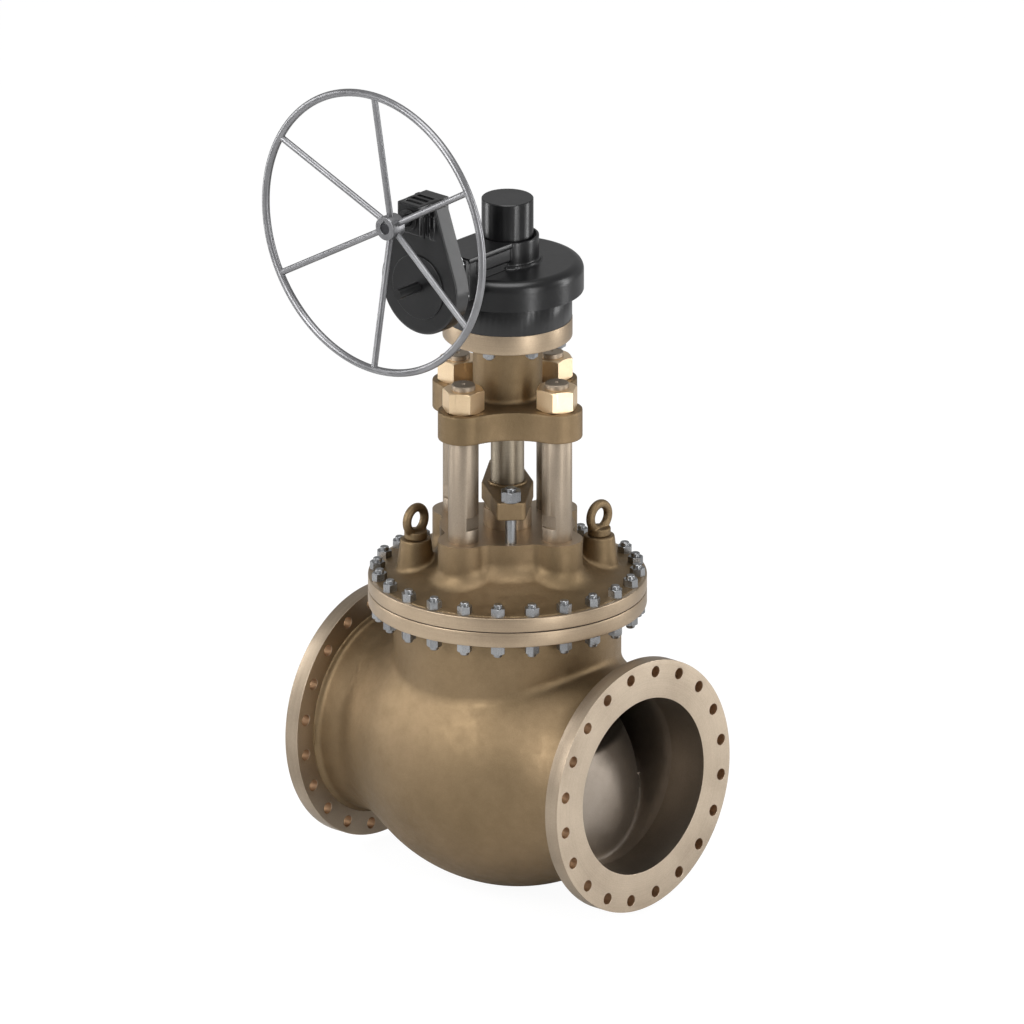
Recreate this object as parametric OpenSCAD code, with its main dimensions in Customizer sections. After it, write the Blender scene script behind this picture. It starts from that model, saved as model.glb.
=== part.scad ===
// Flanged bronze globe valve with a rising stem, a pillar yoke, a bevel gearbox,
// a spur reduction case and a handwheel. Millimetres. The origin is the centre of
// the inlet flange face, +X runs along the pipe and +Z up the stem. Shown closed.

/* [Pipe ends] */
// Face to face length of the body
face_to_face = 978; // [960:2:1000]
// Outside diameter of the end flanges
end_flange_d = 698.5; // [690:0.5:705]
// Thickness of the end flanges
end_flange_t = 42.9; // [40:0.1:46]
// Bolt circle diameter of the end flanges
end_bolt_circle = 635; // [630:1:640]
// Diameter of the end flange bolt holes
end_hole_d = 31.75; // [28:0.25:34]
// Diameter of the machined bore at each end
port_d = 489; // [480:1:492]
// Length of the machined bore at each end
port_bore_len = 116; // [80:1:117]

/* [Body] */
// Radius of the body's belly at the stem axis
belly_r = 374; // [365:1:380]
// Radius of the upright neck under the bonnet
neck_r = 306; // [302:1:310]
// Bore radius of the upright neck
neck_bore_r = 270; // [264:1:272]
// Height of the bonnet joint above the pipe axis
joint_z = 453; // [450:1:456]
// Radius of the bonnet joint flanges
joint_r = 375; // [372:1:380]
// Wall thickness of the body casting
body_wall = 28; // [24:1:30]

/* [Trim] */
// Radius of the stem where it slides
stem_r = 45; // [44:0.5:45]
// Radius of the stem over its thread
stem_thread_r = 40; // [38:0.5:41]

/* [Yoke] */
// Distance of each pillar from the stem axis
pillar_pitch = 178; // [176:1:180]
// Radius of the pillars
pillar_r = 41; // [38:0.5:42]
// Height of the bonnet pads that carry the pillars
pad_z = 634; // [632:1:636]
// Height of the underside of the yoke bridge
bridge_z = 925; // [915:1:935]
// Thickness of the yoke bridge
bridge_t = 81; // [76:1:84]
// Height of the gearbox mounting face
gearbox_z = 1228; // [1222:1:1234]

/* [Gearing] */
// Module of the spur teeth
spur_module = 4; // [4:1:4]
// Teeth of the handwheel pinion
input_teeth = 15; // [15:1:15]
// Teeth of the idler
idler_teeth = 16; // [16:1:16]
// Teeth of the spur wheel
wheel_teeth = 54; // [54:1:54]
// Teeth of the bevel pinion
bevel_teeth = 16; // [16:1:16]
// Teeth of the crown wheel
crown_teeth = 48; // [48:1:48]

/* [Handwheel] */
// Outside diameter of the handwheel
handwheel_d = 800; // [760:5:820]
// Diameter of the rim tube
rim_tube_d = 21; // [19:0.5:24]
// Number of spokes
spokes = 6; // [5:1:8]
// Diameter of the spokes
spoke_d = 17.5; // [15:0.5:19]

/* [Hidden] */
$fn = 96;

stem_x = face_to_face / 2;
port_r = port_d / 2;
cored_r = port_r - 1.5;
end_holes = 20;
belly_half = 456;
belly_start = 120; // distance from each end where the belly starts to swell
belly_steps = 24;
belly_blend = 60;
end_neck_r = 272;
hub_step = 10; // how far the machined hub stands out behind each end flange
neck_split_z = 310; // over this height the upright neck is a plain tube
flange_low_t = 41;
gasket_t = 2;
bonnet_flange_t = 39;
bonnet_z = joint_z + gasket_t;
bonnet_top_z = bonnet_z + bonnet_flange_t;
stud_r = 12;
stud_circle_r = 350;
stud_count = 24;
stud_turn = 7.5; // angle of the first bonnet stud from the pipe axis
nut_af = 36;
nut_t = 24;
stud_proud = 10;
cap = 0.1; // clearance between a stud and its nut
slide_gap = 0.06; // running clearance of a shaft in its bush

// Seat and disc
low_sphere_r = 325;
low_sphere_z = -110;
wall_t = 25;
roof_start_x = 118; // where the wall leaves the top of the inlet bore
roof_end_x = 260; // where it reaches the height of the seat deck
wall_split_x = 192; // where the wall becomes a node of its own
deck_z = 55;
seat_hole_r = 200;
seat_bore_r = 188;
seat_flange_r = 214;
seat_top_z = deck_z + 17;
disc_r = 212;
disc_z = seat_top_z + 0.3;
disc_t = 40;
disc_boss_r = 92;
disc_top_z = 178;
button_r = 60;
button_z = 106;
button_t = 24;

// Stem line
stuffing_r = 65;
stuffing_z = 500;
collar_r = 58;
stem_top_z = 1430;
thread_z = 1100;
key_w = 14;
key_out = 5;
gland_plate_z = 705;
gland_plate_t = 50;
gland_stud_pitch = 157;
gland_stud_r = 15;
gland_turn = 135; // angle of the long way of the gland flange from the pipe axis

// Lifting eyes
eye_pitch = 247;
eye_turn = 45;
eye_boss_z = 598;

// Yoke
lobe_r = 69;
waist_r = 160;
pillar_end_r = 32;
bridge_top_z = bridge_z + bridge_t;
pillar_nut_t = 60;
yoke_tube_r = 93.4;
yoke_flange_r = 175;
yoke_flange_t = 54;
gearbox_circle_r = 149;
gearbox_stud_r = 10;

// Gearbox
base_r = 174;
housing_z = gearbox_z + 80;
housing_r = 205.6;
housing_top_z = 1390;
housing_round = 28;
boss_r = 85;
boss_top_z = 1462;
boss_bore_r = 78;
pinion_z = 1405;
duct_w = 126;
duct_low_z = 1344;
duct_top_z = 1460;
cavity_r = 142;
housing_screw_r = 158;
duct_end_y = -227;
sleeve_r = 62;
sleeve_z = 1252;
sleeve_top_z = 1440;
cover_r = 70;
cover_top_z = 1565;

// Spur case
case_front_y = -360;
case_split_y = -315;
case_back_y = -307;
case_big_r = 134;
case_corner_r = 20;
case_corner_x = 39;
case_top_z = 1652;
case_wall = 8;
input_box_w = 80; // block at the top of the case that carries the handwheel shaft
input_box_front_y = -401;
input_box_back_y = -283;
input_box_low_z = 1568;
idler_z = pinion_z + spur_module * (wheel_teeth + idler_teeth) / 2;
input_z = idler_z + spur_module * (idler_teeth + input_teeth) / 2;
gear_front_y = -346;
gear_w = 26;
stub_r = 13.7;
stub_end_y = -446;
shaft_start_y = -112;
pinion_shaft_r = 25;
input_shaft_r = 16.4;
// Screws that hold the back plate on, one in each thick part of the wall.
case_screw_places = [[-122.7, -11.6], [122.7, -11.6], [-99.6, 86.3], [99.6, 86.3], [-73.7, -98], [73.7, -98]];

// Teeth
pressure = 20;
flank_steps = 4;
bevel_module = 5.5;
bevel_face = 0.72; // size of a bevel tooth's small end over its large end
pinion_pitch_r = bevel_module * bevel_teeth / 2;
crown_pitch_r = bevel_module * crown_teeth / 2;
cone_len = norm([pinion_pitch_r, crown_pitch_r]);

// Handwheel
rim_r = handwheel_d / 2 - rim_tube_d / 2;
rim_y = -539;
hub_front_y = -497;
hub_back_y = -450;
hub_r = 33.6;

// ---------- shared shapes ----------

// Places children with the stem axis as their Z axis, at height z.
module at_stem(z = 0) {
    translate([stem_x, 0, z]) children();
}

// Lays children's Z axis along -Y, through height z over the stem axis, starting at y.
module facing_front(y, z) {
    translate([stem_x, y, z]) rotate([90, 0, 0]) children();
}

// Repeats children on a circle.
module around(count, radius, first = 0) {
    for (i = [0 : count - 1]) rotate(first + i * 360 / count) translate([radius, 0, 0]) children();
}

// Flat ring or tube.
module ring(outer, inner, height) {
    difference() {
        cylinder(r = outer, h = height);
        translate([0, 0, -1]) cylinder(r = inner, h = height + 2);
    }
}

// Hexagon nut with chamfered corners, bored for its stud.
module hex_nut(across, height, bore) {
    corner = across / 2 / cos(30);
    difference() {
        intersection() {
            cylinder(r = corner, h = height, $fn = 6);
            rotate_extrude($fn = 60) polygon([
                [0, 0], [across / 2, 0], [corner + 0.01, (corner - across / 2) * 0.6],
                [corner + 0.01, height - (corner - across / 2) * 0.6], [across / 2, height], [0, height]
            ]);
        }
        translate([0, 0, -1]) cylinder(r = bore, h = height + 2, $fn = 48);
    }
}

// Threaded stud with chamfered ends.
module stud(radius, length) {
    rotate_extrude($fn = 48) polygon([
        [0, 0], [radius - 2, 0], [radius, 2], [radius, length - 2], [radius - 2, length], [0, length]
    ]);
}

// Points of an arc, from angle a to angle b.
function arc(centre, radius, a, b, steps) = [
    for (i = [0 : steps]) centre + radius * [cos(a + (b - a) * i / steps), sin(a + (b - a) * i / steps)]
];

// The larger of two values, rounded off over the blend width where they are close.
function blend_max(a, b, width) = max(a, b) + pow(max(width - abs(a - b), 0), 2) / (4 * width);

// Radius of a half-ellipse at distance u from its middle.
function ellipse_r(u, half, radius) = radius * sqrt(max(1 - pow(u / half, 2), 0));

// ---------- body ----------

// Outline along the pipe of a tube that swells to a half-ellipse, as radius against distance.
function barrel_outline(tube_r, half, radius) = [
    for (i = [0 : belly_steps])
        let (x = belly_start + (face_to_face - 2 * belly_start) * i / belly_steps)
            [x, blend_max(tube_r, ellipse_r(x - stem_x, half, radius), belly_blend)]
];

// Turns an outline about the pipe axis.
module about_pipe() {
    rotate([90, 0, 90]) rotate_extrude($fn = 128) rotate(90) mirror([0, 1]) children();
}

module casting_outside() {
    // Hub behind an end flange, with its fillet.
    hub = [
        [end_flange_t, 0], [end_flange_t, end_neck_r + hub_step], [end_flange_t + 5, end_neck_r + 5],
        [end_flange_t + 15, end_neck_r + 1.5], [end_flange_t + 32, end_neck_r]
    ];
    far_hub = [for (i = [len(hub) - 1 : -1 : 0]) [face_to_face - hub[i][0], hub[i][1]]];
    about_pipe() polygon(concat(hub, barrel_outline(end_neck_r, belly_half, belly_r), far_hub));
    at_stem() cylinder(r = neck_r, h = neck_split_z, $fn = 180);
}

module casting_core() {
    about_pipe() polygon(concat([[-5, 0], [-5, cored_r]],
        barrel_outline(cored_r, belly_half - body_wall, belly_r - body_wall),
        [[face_to_face + 5, cored_r], [face_to_face + 5, 0]]));
    at_stem() cylinder(r = neck_bore_r, h = joint_z);
}

// Inlet passage and the bowl under the seat, grown by g.
module inlet_passage(g) {
    reach = 1800; // larger than the valve
    under_deck_z = deck_z - wall_t;
    slope = atan2(port_r - under_deck_z, roof_end_x - roof_start_x);
    intersection() {
        at_stem(low_sphere_z) sphere(r = low_sphere_r + g, $fn = 128);
        at_stem(under_deck_z + g - reach) cylinder(r = reach, h = reach);
    }
    intersection() {
        translate([-5, 0, 0]) rotate([0, 90, 0]) cylinder(r = cored_r + g, h = stem_x + 5);
        translate([roof_start_x, 0, port_r]) rotate([0, slope, 0])
            translate([-reach / 2, -reach / 2, g - reach]) cube([reach, reach, reach]);
    }
}

// Wall that parts the inlet from the outlet: a bowl under the seat deck and a sloping roof.
module dividing_wall() {
    difference() {
        inlet_passage(wall_t);
        inlet_passage(0);
        at_stem(deck_z - 100) cylinder(r = seat_hole_r, h = 200);
    }
}

// The half of the world towards the inlet from where the dividing wall is a node of its own.
module inlet_side() {
    translate([wall_split_x - 500, -500, -500]) cube([500, 1000, 1000]);
}

module body_casting() {
    color("peru") difference() {
        casting_outside();
        difference() {
            casting_core();
            intersection() {
                dividing_wall();
                inlet_side();
            }
        }
        for (x = [0, face_to_face - port_bore_len]) translate([x, 0, 0]) rotate([0, 90, 0])
            cylinder(r = port_r, h = port_bore_len, $fn = 180);
    }
}

// Upright neck with the lower flange of the bonnet joint.
module body_neck() {
    flange_z = joint_z - flange_low_t;
    color("peru") difference() {
        union() {
            at_stem(neck_split_z) cylinder(r = neck_r, h = joint_z - neck_split_z, $fn = 180);
            at_stem(flange_z) cylinder(r = joint_r, h = flange_low_t, $fn = 180);
        }
        at_stem(neck_split_z - 1) cylinder(r = neck_bore_r, h = joint_z - neck_split_z + 2);
        at_stem(flange_z - 1) around(stud_count, stud_circle_r, stud_turn)
            cylinder(r = stud_r + 1, h = flange_low_t + 2, $fn = 48);
    }
}

module seat_wall() {
    color("peru") difference() {
        intersection() {
            dividing_wall();
            casting_core();
        }
        inlet_side();
    }
}

// Pipe flange at the origin, its face towards -X.
module end_flange() {
    rotate([0, 90, 0]) difference() {
        cylinder(d = end_flange_d, h = end_flange_t, $fn = 180);
        translate([0, 0, -1]) cylinder(r = port_r, h = end_flange_t + 2, $fn = 180);
        around(end_holes, end_bolt_circle / 2, 180 / end_holes)
            translate([0, 0, -1]) cylinder(d = end_hole_d, h = end_flange_t + 2, $fn = 48);
    }
}

module inlet_flange() {
    color("burlywood") end_flange();
}

module outlet_flange() {
    color("burlywood") translate([face_to_face, 0, 0]) mirror([1, 0, 0]) end_flange();
}

module seat_ring() {
    color("darkgoldenrod") at_stem() rotate_extrude() polygon([
        [seat_bore_r, deck_z - wall_t], [seat_hole_r - cap, deck_z - wall_t], [seat_hole_r - cap, deck_z],
        [seat_flange_r, deck_z], [seat_flange_r, seat_top_z - 4], [seat_flange_r - 4, seat_top_z],
        [seat_bore_r + 6, seat_top_z], [seat_bore_r, seat_top_z - 6]
    ]);
}

// ---------- bonnet ----------

module bonnet_gasket() {
    color("dimgray") at_stem(joint_z) difference() {
        cylinder(r = joint_r - 3, h = gasket_t);
        translate([0, 0, -1]) cylinder(r = neck_bore_r + 4, h = gasket_t + 2);
        around(stud_count, stud_circle_r, stud_turn) translate([0, 0, -1])
            cylinder(r = stud_r + 1, h = gasket_t + 2);
    }
}

module bonnet_solid() {
    spigot_r = neck_bore_r - 0.5;
    at_stem() rotate_extrude($fn = 180) polygon(concat(
        [
            [0, 472], [78, 472], [78, 503], [110, 512], [170, 505], [215, 490], [240, 470],
            [240, bonnet_z - 14]
        ],
        [[spigot_r - 4, bonnet_z - 14], [spigot_r, bonnet_z - 10], [spigot_r, bonnet_z]],
        [[joint_r, bonnet_z], [joint_r, bonnet_top_z]],
        arc([322, bonnet_top_z + 16], 16, 270, 245, 3),
        arc([250, 440], 80, 62, 95, 4),
        arc([182 + 30, 575], 30, 245, 180, 5),
        [[182, pad_z], [0, pad_z]]
    ));
    // Pads for the four pillars.
    at_stem(513) around(4, pillar_pitch) cylinder(r = lobe_r, h = pad_z - 513);
    // Cast bosses for the two lifting eyes.
    at_stem(501) around(2, eye_pitch, eye_turn) cylinder(r1 = 53, r2 = 41, h = eye_boss_z - 501);
}

module bonnet() {
    color("peru") difference() {
        bonnet_solid();
        at_stem(bonnet_z - 1) around(stud_count, stud_circle_r, stud_turn)
            cylinder(r = stud_r + 1, h = bonnet_flange_t + 20, $fn = 48);
        at_stem(460) cylinder(r = button_r, h = 100);
        at_stem(stuffing_z) cylinder(r = stuffing_r, h = 200);
        at_stem(560) around(4, pillar_pitch) cylinder(r = pillar_end_r + cap, h = 100);
        at_stem(574) around(2, gland_stud_pitch, gland_turn) cylinder(r = gland_stud_r + cap, h = 100);
        at_stem(568) around(2, eye_pitch, eye_turn) cylinder(r = 12, h = 100);
    }
}

module bonnet_studs() {
    low = joint_z - flange_low_t - nut_t - stud_proud;
    color("slategray") at_stem(low) around(stud_count, stud_circle_r, stud_turn)
        stud(stud_r, bonnet_top_z + nut_t + stud_proud - low);
}

module bonnet_nuts() {
    color("lightslategray") for (z = [joint_z - flange_low_t - nut_t, bonnet_top_z])
        at_stem(z) around(stud_count, stud_circle_r, stud_turn) hex_nut(nut_af, nut_t, stud_r + cap);
}

// Lifting eye with a shouldered shank; the ring stands across the pipe.
module eye_bolt() {
    translate([0, 0, eye_boss_z - 28]) cylinder(r = 11.9, h = 30);
    translate([0, 0, eye_boss_z]) cylinder(r = 31, h = 21);
    translate([0, 0, eye_boss_z + 51]) rotate([0, 90, 0]) rotate_extrude() translate([35, 0]) circle(r = 12);
}

module eye_bolt_front() {
    color("peru") at_stem() translate(-eye_pitch * [cos(eye_turn), sin(eye_turn)]) eye_bolt();
}

module eye_bolt_back() {
    color("peru") at_stem() translate(eye_pitch * [cos(eye_turn), sin(eye_turn)]) eye_bolt();
}

module back_seat_bush() {
    color("goldenrod") at_stem() rotate_extrude() polygon([
        [stem_r + slide_gap, 463], [72, 463], [72, 472], [button_r - cap, 472], [button_r - cap, stuffing_z],
        [stem_r + slide_gap, stuffing_z]
    ]);
}

module packing_rings() {
    rings = 5;
    pitch = 20;
    color("black") for (i = [0 : rings - 1]) at_stem(stuffing_z + i * pitch)
        ring(stuffing_r - cap, stem_r + slide_gap, pitch - 0.1);
}

module gland_bush() {
    color("darkgoldenrod") at_stem(600) difference() {
        union() {
            cylinder(r = stuffing_r - 0.3, h = gland_plate_z - 600 - 18);
            translate([0, 0, gland_plate_z - 600 - 18]) cylinder(r = 61, h = 18);
        }
        translate([0, 0, -1]) cylinder(r = stem_r + 0.1, h = 120);
    }
}

// Elongated six-sided plate that presses the gland bush down.
module gland_flange() {
    half = 181;
    tip = 37.5;
    side = 70;
    color("peru") at_stem() rotate(gland_turn) difference() {
        union() {
            translate([0, 0, gland_plate_z]) linear_extrude(gland_plate_t)
                polygon([[half, tip], [half, -tip], [0, -side], [-half, -tip], [-half, tip], [0, side]]);
            translate([0, 0, gland_plate_z + 1]) cylinder(r = 52, h = gland_plate_t + 4);
        }
        translate([0, 0, 700]) cylinder(r = stem_r + 0.5, h = 100);
        translate([0, 0, 700]) around(2, gland_stud_pitch) cylinder(r = gland_stud_r + 1, h = 100);
    }
}

module gland_studs() {
    color("slategray") at_stem(575) around(2, gland_stud_pitch, gland_turn) stud(gland_stud_r, 218);
}

module gland_nuts() {
    color("lightslategray") at_stem(gland_plate_z + gland_plate_t) around(2, gland_stud_pitch, gland_turn)
        hex_nut(52, 30, gland_stud_r + cap);
}

// ---------- yoke ----------

// One pillar, with spanner flats near its foot and a centre-drilled threaded top.
module pillar() {
    foot_z = 561;
    flat_z = 672;
    top_z = bridge_top_z + pillar_nut_t + 13;
    difference() {
        union() {
            translate([0, 0, foot_z]) cylinder(r = pillar_end_r, h = pad_z - foot_z);
            translate([0, 0, pad_z]) cylinder(r = pillar_r, h = bridge_z - pad_z);
            translate([0, 0, bridge_z]) stud(pillar_end_r, top_z - bridge_z);
        }
        for (side = [-1, 1]) translate([-100, side * 82.5 - 50, flat_z]) cube([200, 100, 37]);
        translate([0, 0, top_z - 8]) cylinder(r1 = 1, r2 = 6, h = 9);
    }
}

module pillar_at(angle) {
    color("burlywood") at_stem() rotate(angle) translate([pillar_pitch, 0, 0]) pillar();
}

module pillar_outlet() { pillar_at(0); }
module pillar_back() { pillar_at(90); }
module pillar_inlet() { pillar_at(180); }
module pillar_front() { pillar_at(270); }

module pillar_nuts() {
    color("gold") at_stem(bridge_top_z) around(4, pillar_pitch)
        hex_nut(100, pillar_nut_t, pillar_end_r + cap);
}

// Four round lobes joined by hollow waists.
function bridge_outline() =
    let (dip = waist_r - lobe_r)
    let (centre_r = (pillar_pitch * pillar_pitch - dip * dip) / (sqrt(2) * pillar_pitch - 2 * dip))
    let (hollow_r = centre_r - waist_r)
    let (turn = atan2(centre_r * sin(45), centre_r * cos(45) - pillar_pitch))
    [
        for (k = [0 : 3], p = concat(
            arc([pillar_pitch, 0], lobe_r, -turn + 6, turn - 6, 14),
            arc(centre_r * [cos(45), sin(45)], hollow_r, 180 + turn, 270 - turn, 10)
        )) [p[0] * cos(90 * k) - p[1] * sin(90 * k), p[0] * sin(90 * k) + p[1] * cos(90 * k)]
    ];

module yoke_bridge() {
    color("peru") difference() {
        union() {
            at_stem(bridge_z) linear_extrude(bridge_t) polygon(bridge_outline());
            at_stem() rotate_extrude() polygon(concat(
                [[0, bridge_top_z - 5], [yoke_tube_r + 10, bridge_top_z - 5]],
                arc([yoke_tube_r + 10, bridge_top_z + 10], 10, 270, 180, 4),
                arc([yoke_tube_r + 10, gearbox_z - yoke_flange_t - 10], 10, 180, 90, 4),
                [[yoke_flange_r, gearbox_z - yoke_flange_t], [yoke_flange_r, gearbox_z], [0, gearbox_z]]
            ));
        }
        at_stem(bridge_z - 1) cylinder(r = 60, h = 100);
        at_stem(bridge_top_z) cylinder(r = 68, h = 300);
        at_stem(bridge_z - 1) around(4, pillar_pitch) cylinder(r = pillar_end_r + 0.3, h = 100);
        at_stem(gearbox_z - yoke_flange_t - 1) around(8, gearbox_circle_r, 22.5)
            cylinder(r = 11, h = 100, $fn = 48);
    }
}

module stem_guide_bush() {
    color("goldenrod") difference() {
        at_stem(bridge_z) ring(60 - cap, stem_r + slide_gap, bridge_t);
        translate([stem_x - key_w / 2 - 0.1, 0, bridge_z - 1])
            cube([key_w + 0.2, stem_r + key_out + 0.3, bridge_t + 2]);
    }
}

module gearbox_studs() {
    low = gearbox_z - yoke_flange_t - 22;
    color("slategray") at_stem(low) around(8, gearbox_circle_r, 22.5)
        stud(gearbox_stud_r, gearbox_z + 40 - low);
}

module gearbox_stud_nuts() {
    color("lightslategray") at_stem(gearbox_z - yoke_flange_t - 16) around(8, gearbox_circle_r, 22.5)
        hex_nut(30, 16, gearbox_stud_r + cap);
}

// ---------- bevel gearbox ----------

module gearbox_base() {
    color("dimgray") at_stem(gearbox_z) difference() {
        cylinder(r = base_r, h = housing_z - gearbox_z, $fn = 128);
        translate([0, 0, -1]) cylinder(r = 66, h = 100);
        translate([0, 0, 24]) cylinder(r = 118, h = 100);
        around(8, gearbox_circle_r, 22.5) translate([0, 0, -1])
            cylinder(r = gearbox_stud_r + cap, h = 42, $fn = 48);
        around(8, housing_screw_r) translate([0, 0, -1]) cylinder(r = 6 + cap, h = 100, $fn = 48);
        around(8, housing_screw_r) translate([0, 0, -1]) cylinder(r = 10, h = 15, $fn = 48);
    }
}

module gearbox_housing() {
    duct_bore_r = 50;
    bearing_r = 45;
    color("dimgray") difference() {
        union() {
            at_stem() rotate_extrude($fn = 128) polygon(concat(
                [[0, housing_z], [housing_r, housing_z]],
                arc([housing_r - housing_round, housing_top_z - housing_round], housing_round, 0, 90, 7),
                [[boss_r + 6, housing_top_z], [boss_r + 2, housing_top_z + 2], [boss_r, housing_top_z + 6]],
                [[boss_r, boss_top_z - 3], [boss_r - 3, boss_top_z], [0, boss_top_z]]
            ));
            translate([stem_x - duct_w / 2, duct_end_y, duct_low_z])
                cube([duct_w, -duct_end_y - 50, duct_top_z - duct_low_z]);
        }
        at_stem(housing_z - 1) cylinder(r = cavity_r, h = 73);
        at_stem(housing_z) cylinder(r = boss_bore_r, h = 300);
        facing_front(-60, pinion_z) cylinder(r = duct_bore_r, h = 100);
        facing_front(-60, pinion_z) cylinder(r = bearing_r, h = 200);
        at_stem(housing_z - 1) around(8, housing_screw_r) cylinder(r = 6 + cap, h = 36, $fn = 48);
    }
}

// Cap screws that run up through the base ring into the housing.
module housing_screws() {
    color("slategray") at_stem(gearbox_z + 1) around(8, housing_screw_r) {
        cylinder(r = 9, h = 12.9);
        cylinder(r = 6, h = housing_z - gearbox_z + 32);
    }
}

// Bearings over and under the drive sleeve.
module thrust_bearings() {
    color("silver") {
        at_stem(sleeve_z + 0.1) ring(100, sleeve_r - 10 + slide_gap, 24);
        at_stem(1418) ring(boss_bore_r - cap, sleeve_r - 6 + slide_gap, 21.9);
    }
}

module stem_cover() {
    color("dimgray") at_stem() rotate_extrude() polygon([
        [64, sleeve_top_z], [boss_bore_r - cap, sleeve_top_z], [boss_bore_r - cap, sleeve_top_z + 10],
        [cover_r + 3, sleeve_top_z + 10], [cover_r, sleeve_top_z + 13], [cover_r, cover_top_z - 2],
        [cover_r - 2, cover_top_z], [0, cover_top_z], [0, cover_top_z - 6], [64, cover_top_z - 6]
    ]);
}

// ---------- spur reduction case ----------

module spur_adapter() {
    color("dimgray") difference() {
        union() {
            facing_front(duct_end_y - 10, pinion_z) cylinder(r = 57, h = duct_end_y - 10 - case_back_y);
            translate([stem_x - duct_w / 2, duct_end_y - 12, duct_low_z])
                cube([duct_w, 12, duct_top_z - duct_low_z]);
        }
        facing_front(duct_end_y + 1, pinion_z) cylinder(r = pinion_shaft_r + 5, h = 100);
        facing_front(duct_end_y + 1, pinion_z) for (x = [-1, 1], y = [-1, 1])
            translate([52 * x, 46 * y, 0]) cylinder(r = 5 + cap, h = 20, $fn = 32);
    }
}

// Pear-shaped outline about the pinion axis, drawn in by inset.
function case_outline(inset) =
    let (up = case_top_z - pinion_z - case_corner_r)
    let (big = case_big_r - inset)
    let (small = case_corner_r - inset)
    let (side = atan2(up, case_corner_x) - acos((big - small) / norm([case_corner_x, up])))
    concat(
        arc([0, 0], big, 180 - side, 360 + side, 36),
        arc([case_corner_x, up], small, side, 90, 5),
        arc([-case_corner_x, up], small, 90, 180 - side, 5)
    );

// The handwheel shaft's block, between two planes across the shaft.
module input_box(front_y, back_y) {
    translate([stem_x - input_box_w / 2, front_y, input_box_low_z])
        cube([input_box_w, back_y - front_y, case_top_z - input_box_low_z]);
}

module spur_case() {
    color("dimgray") difference() {
        union() {
            facing_front(case_split_y, pinion_z) linear_extrude(case_split_y - case_front_y)
                polygon(case_outline(0));
            input_box(input_box_front_y, case_split_y);
            // Stiffening ribs at the sides of the block, and beside it on the front.
            for (s = [-1, 1]) {
                for (y = [-389, -373]) translate([stem_x + s * input_box_w / 2 - 5, y, input_box_low_z - 10])
                    cube([10, 7, 62]);
                translate([stem_x + s * 54 - 3.5, case_front_y - 5, input_box_low_z]) cube([7, 6, 46]);
            }
        }
        facing_front(case_split_y + 1, pinion_z) linear_extrude(case_split_y - case_front_y + 1 - 9)
            polygon(case_outline(case_wall));
        facing_front(case_split_y, pinion_z) cylinder(r = 46, h = 60);
        facing_front(case_split_y, input_z) cylinder(r = 26, h = 80);
        facing_front(case_split_y, input_z) cylinder(r = input_shaft_r + 1, h = 90);
        // Lightening pockets in the top.
        for (y = [-384, -360, -336]) translate([stem_x - 28, y, case_top_z - 4]) cube([56, 14, 20]);
    }
}

module spur_case_back() {
    color("dimgray") difference() {
        union() {
            facing_front(case_back_y, pinion_z) linear_extrude(case_back_y - case_split_y)
                polygon(case_outline(0));
            input_box(case_back_y - 1, input_box_back_y);
            facing_front(case_back_y + 12, idler_z) cylinder(r = 24, h = 13);
        }
        facing_front(case_back_y + 1, pinion_z) cylinder(r = pinion_shaft_r + 5, h = 20);
        facing_front(case_back_y + 18, input_z) cylinder(r = 26, h = 40);
        facing_front(case_back_y + 10, idler_z) cylinder(r = 10 + cap, h = 30);
    }
}

// Back plate screws, and the bolts that hold the adapter to the gearbox.
module case_screws() {
    color("slategray") {
        for (p = case_screw_places) facing_front(case_back_y, pinion_z)
            translate([p[0], p[1], -6]) cylinder(r = 8, h = 6, $fn = 6);
        for (x = [-1, 1], z = [-1, 1]) facing_front(duct_end_y - 12, pinion_z)
            translate([52 * x, 46 * z, 0]) {
                cylinder(r = 9, h = 7, $fn = 6);
                translate([0, 0, -11.9]) cylinder(r = 5, h = 13, $fn = 32);
            }
    }
}

module bearing_cover() {
    color("gray") difference() {
        union() {
            facing_front(case_front_y, pinion_z) cylinder(r = 90, h = 4);
            facing_front(case_front_y + 12, pinion_z) cylinder(r = 46 - cap, h = 13);
        }
        facing_front(case_front_y + 20, pinion_z) cylinder(r = stub_r + slide_gap, h = 60);
    }
}

// Ball bearings of the pinion shaft and the handwheel shaft.
module shaft_bearings() {
    color("silver") {
        for (y = [-165, -202]) facing_front(y, pinion_z) ring(45 - cap, pinion_shaft_r + slide_gap, 24);
        facing_front(input_box_front_y + 23, input_z) ring(26 - cap, input_shaft_r + slide_gap, 17);
        facing_front(case_back_y + 17, input_z) ring(26 - cap, input_shaft_r + slide_gap, 15);
    }
}

module idler_pin() {
    color("silver") facing_front(case_back_y + 9, idler_z) cylinder(r = 10, h = gear_w + 23);
}

module shaft_seal() {
    color("black") facing_front(input_box_front_y, input_z) ring(30, input_shaft_r + 0.3, 4);
}

// ---------- stem and disc ----------

module stem() {
    color("silver") difference() {
        at_stem() rotate_extrude() polygon([
            [0, button_z], [button_r - 3, button_z], [button_r, button_z + 3],
            [button_r, button_z + button_t], [stem_r, button_z + button_t], [stem_r, 306],
            [collar_r, 306], [collar_r, 330], [stem_r + 4, 337],
            [stem_r, 337], [stem_r, thread_z - 5], [stem_thread_r, thread_z], [stem_thread_r, stem_top_z - 4],
            [stem_thread_r - 4, stem_top_z], [0, stem_top_z]
        ]);
        translate([stem_x - key_w / 2, stem_r - 6, 815]) cube([key_w, 20, 175]);
    }
}

// Feather key that stops the stem from turning.
module stem_key() {
    color("gray") translate([stem_x - key_w / 2 + 0.05, stem_r - 6, 815.1])
        cube([key_w - 0.1, 6 + key_out, 174.8]);
}

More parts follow.
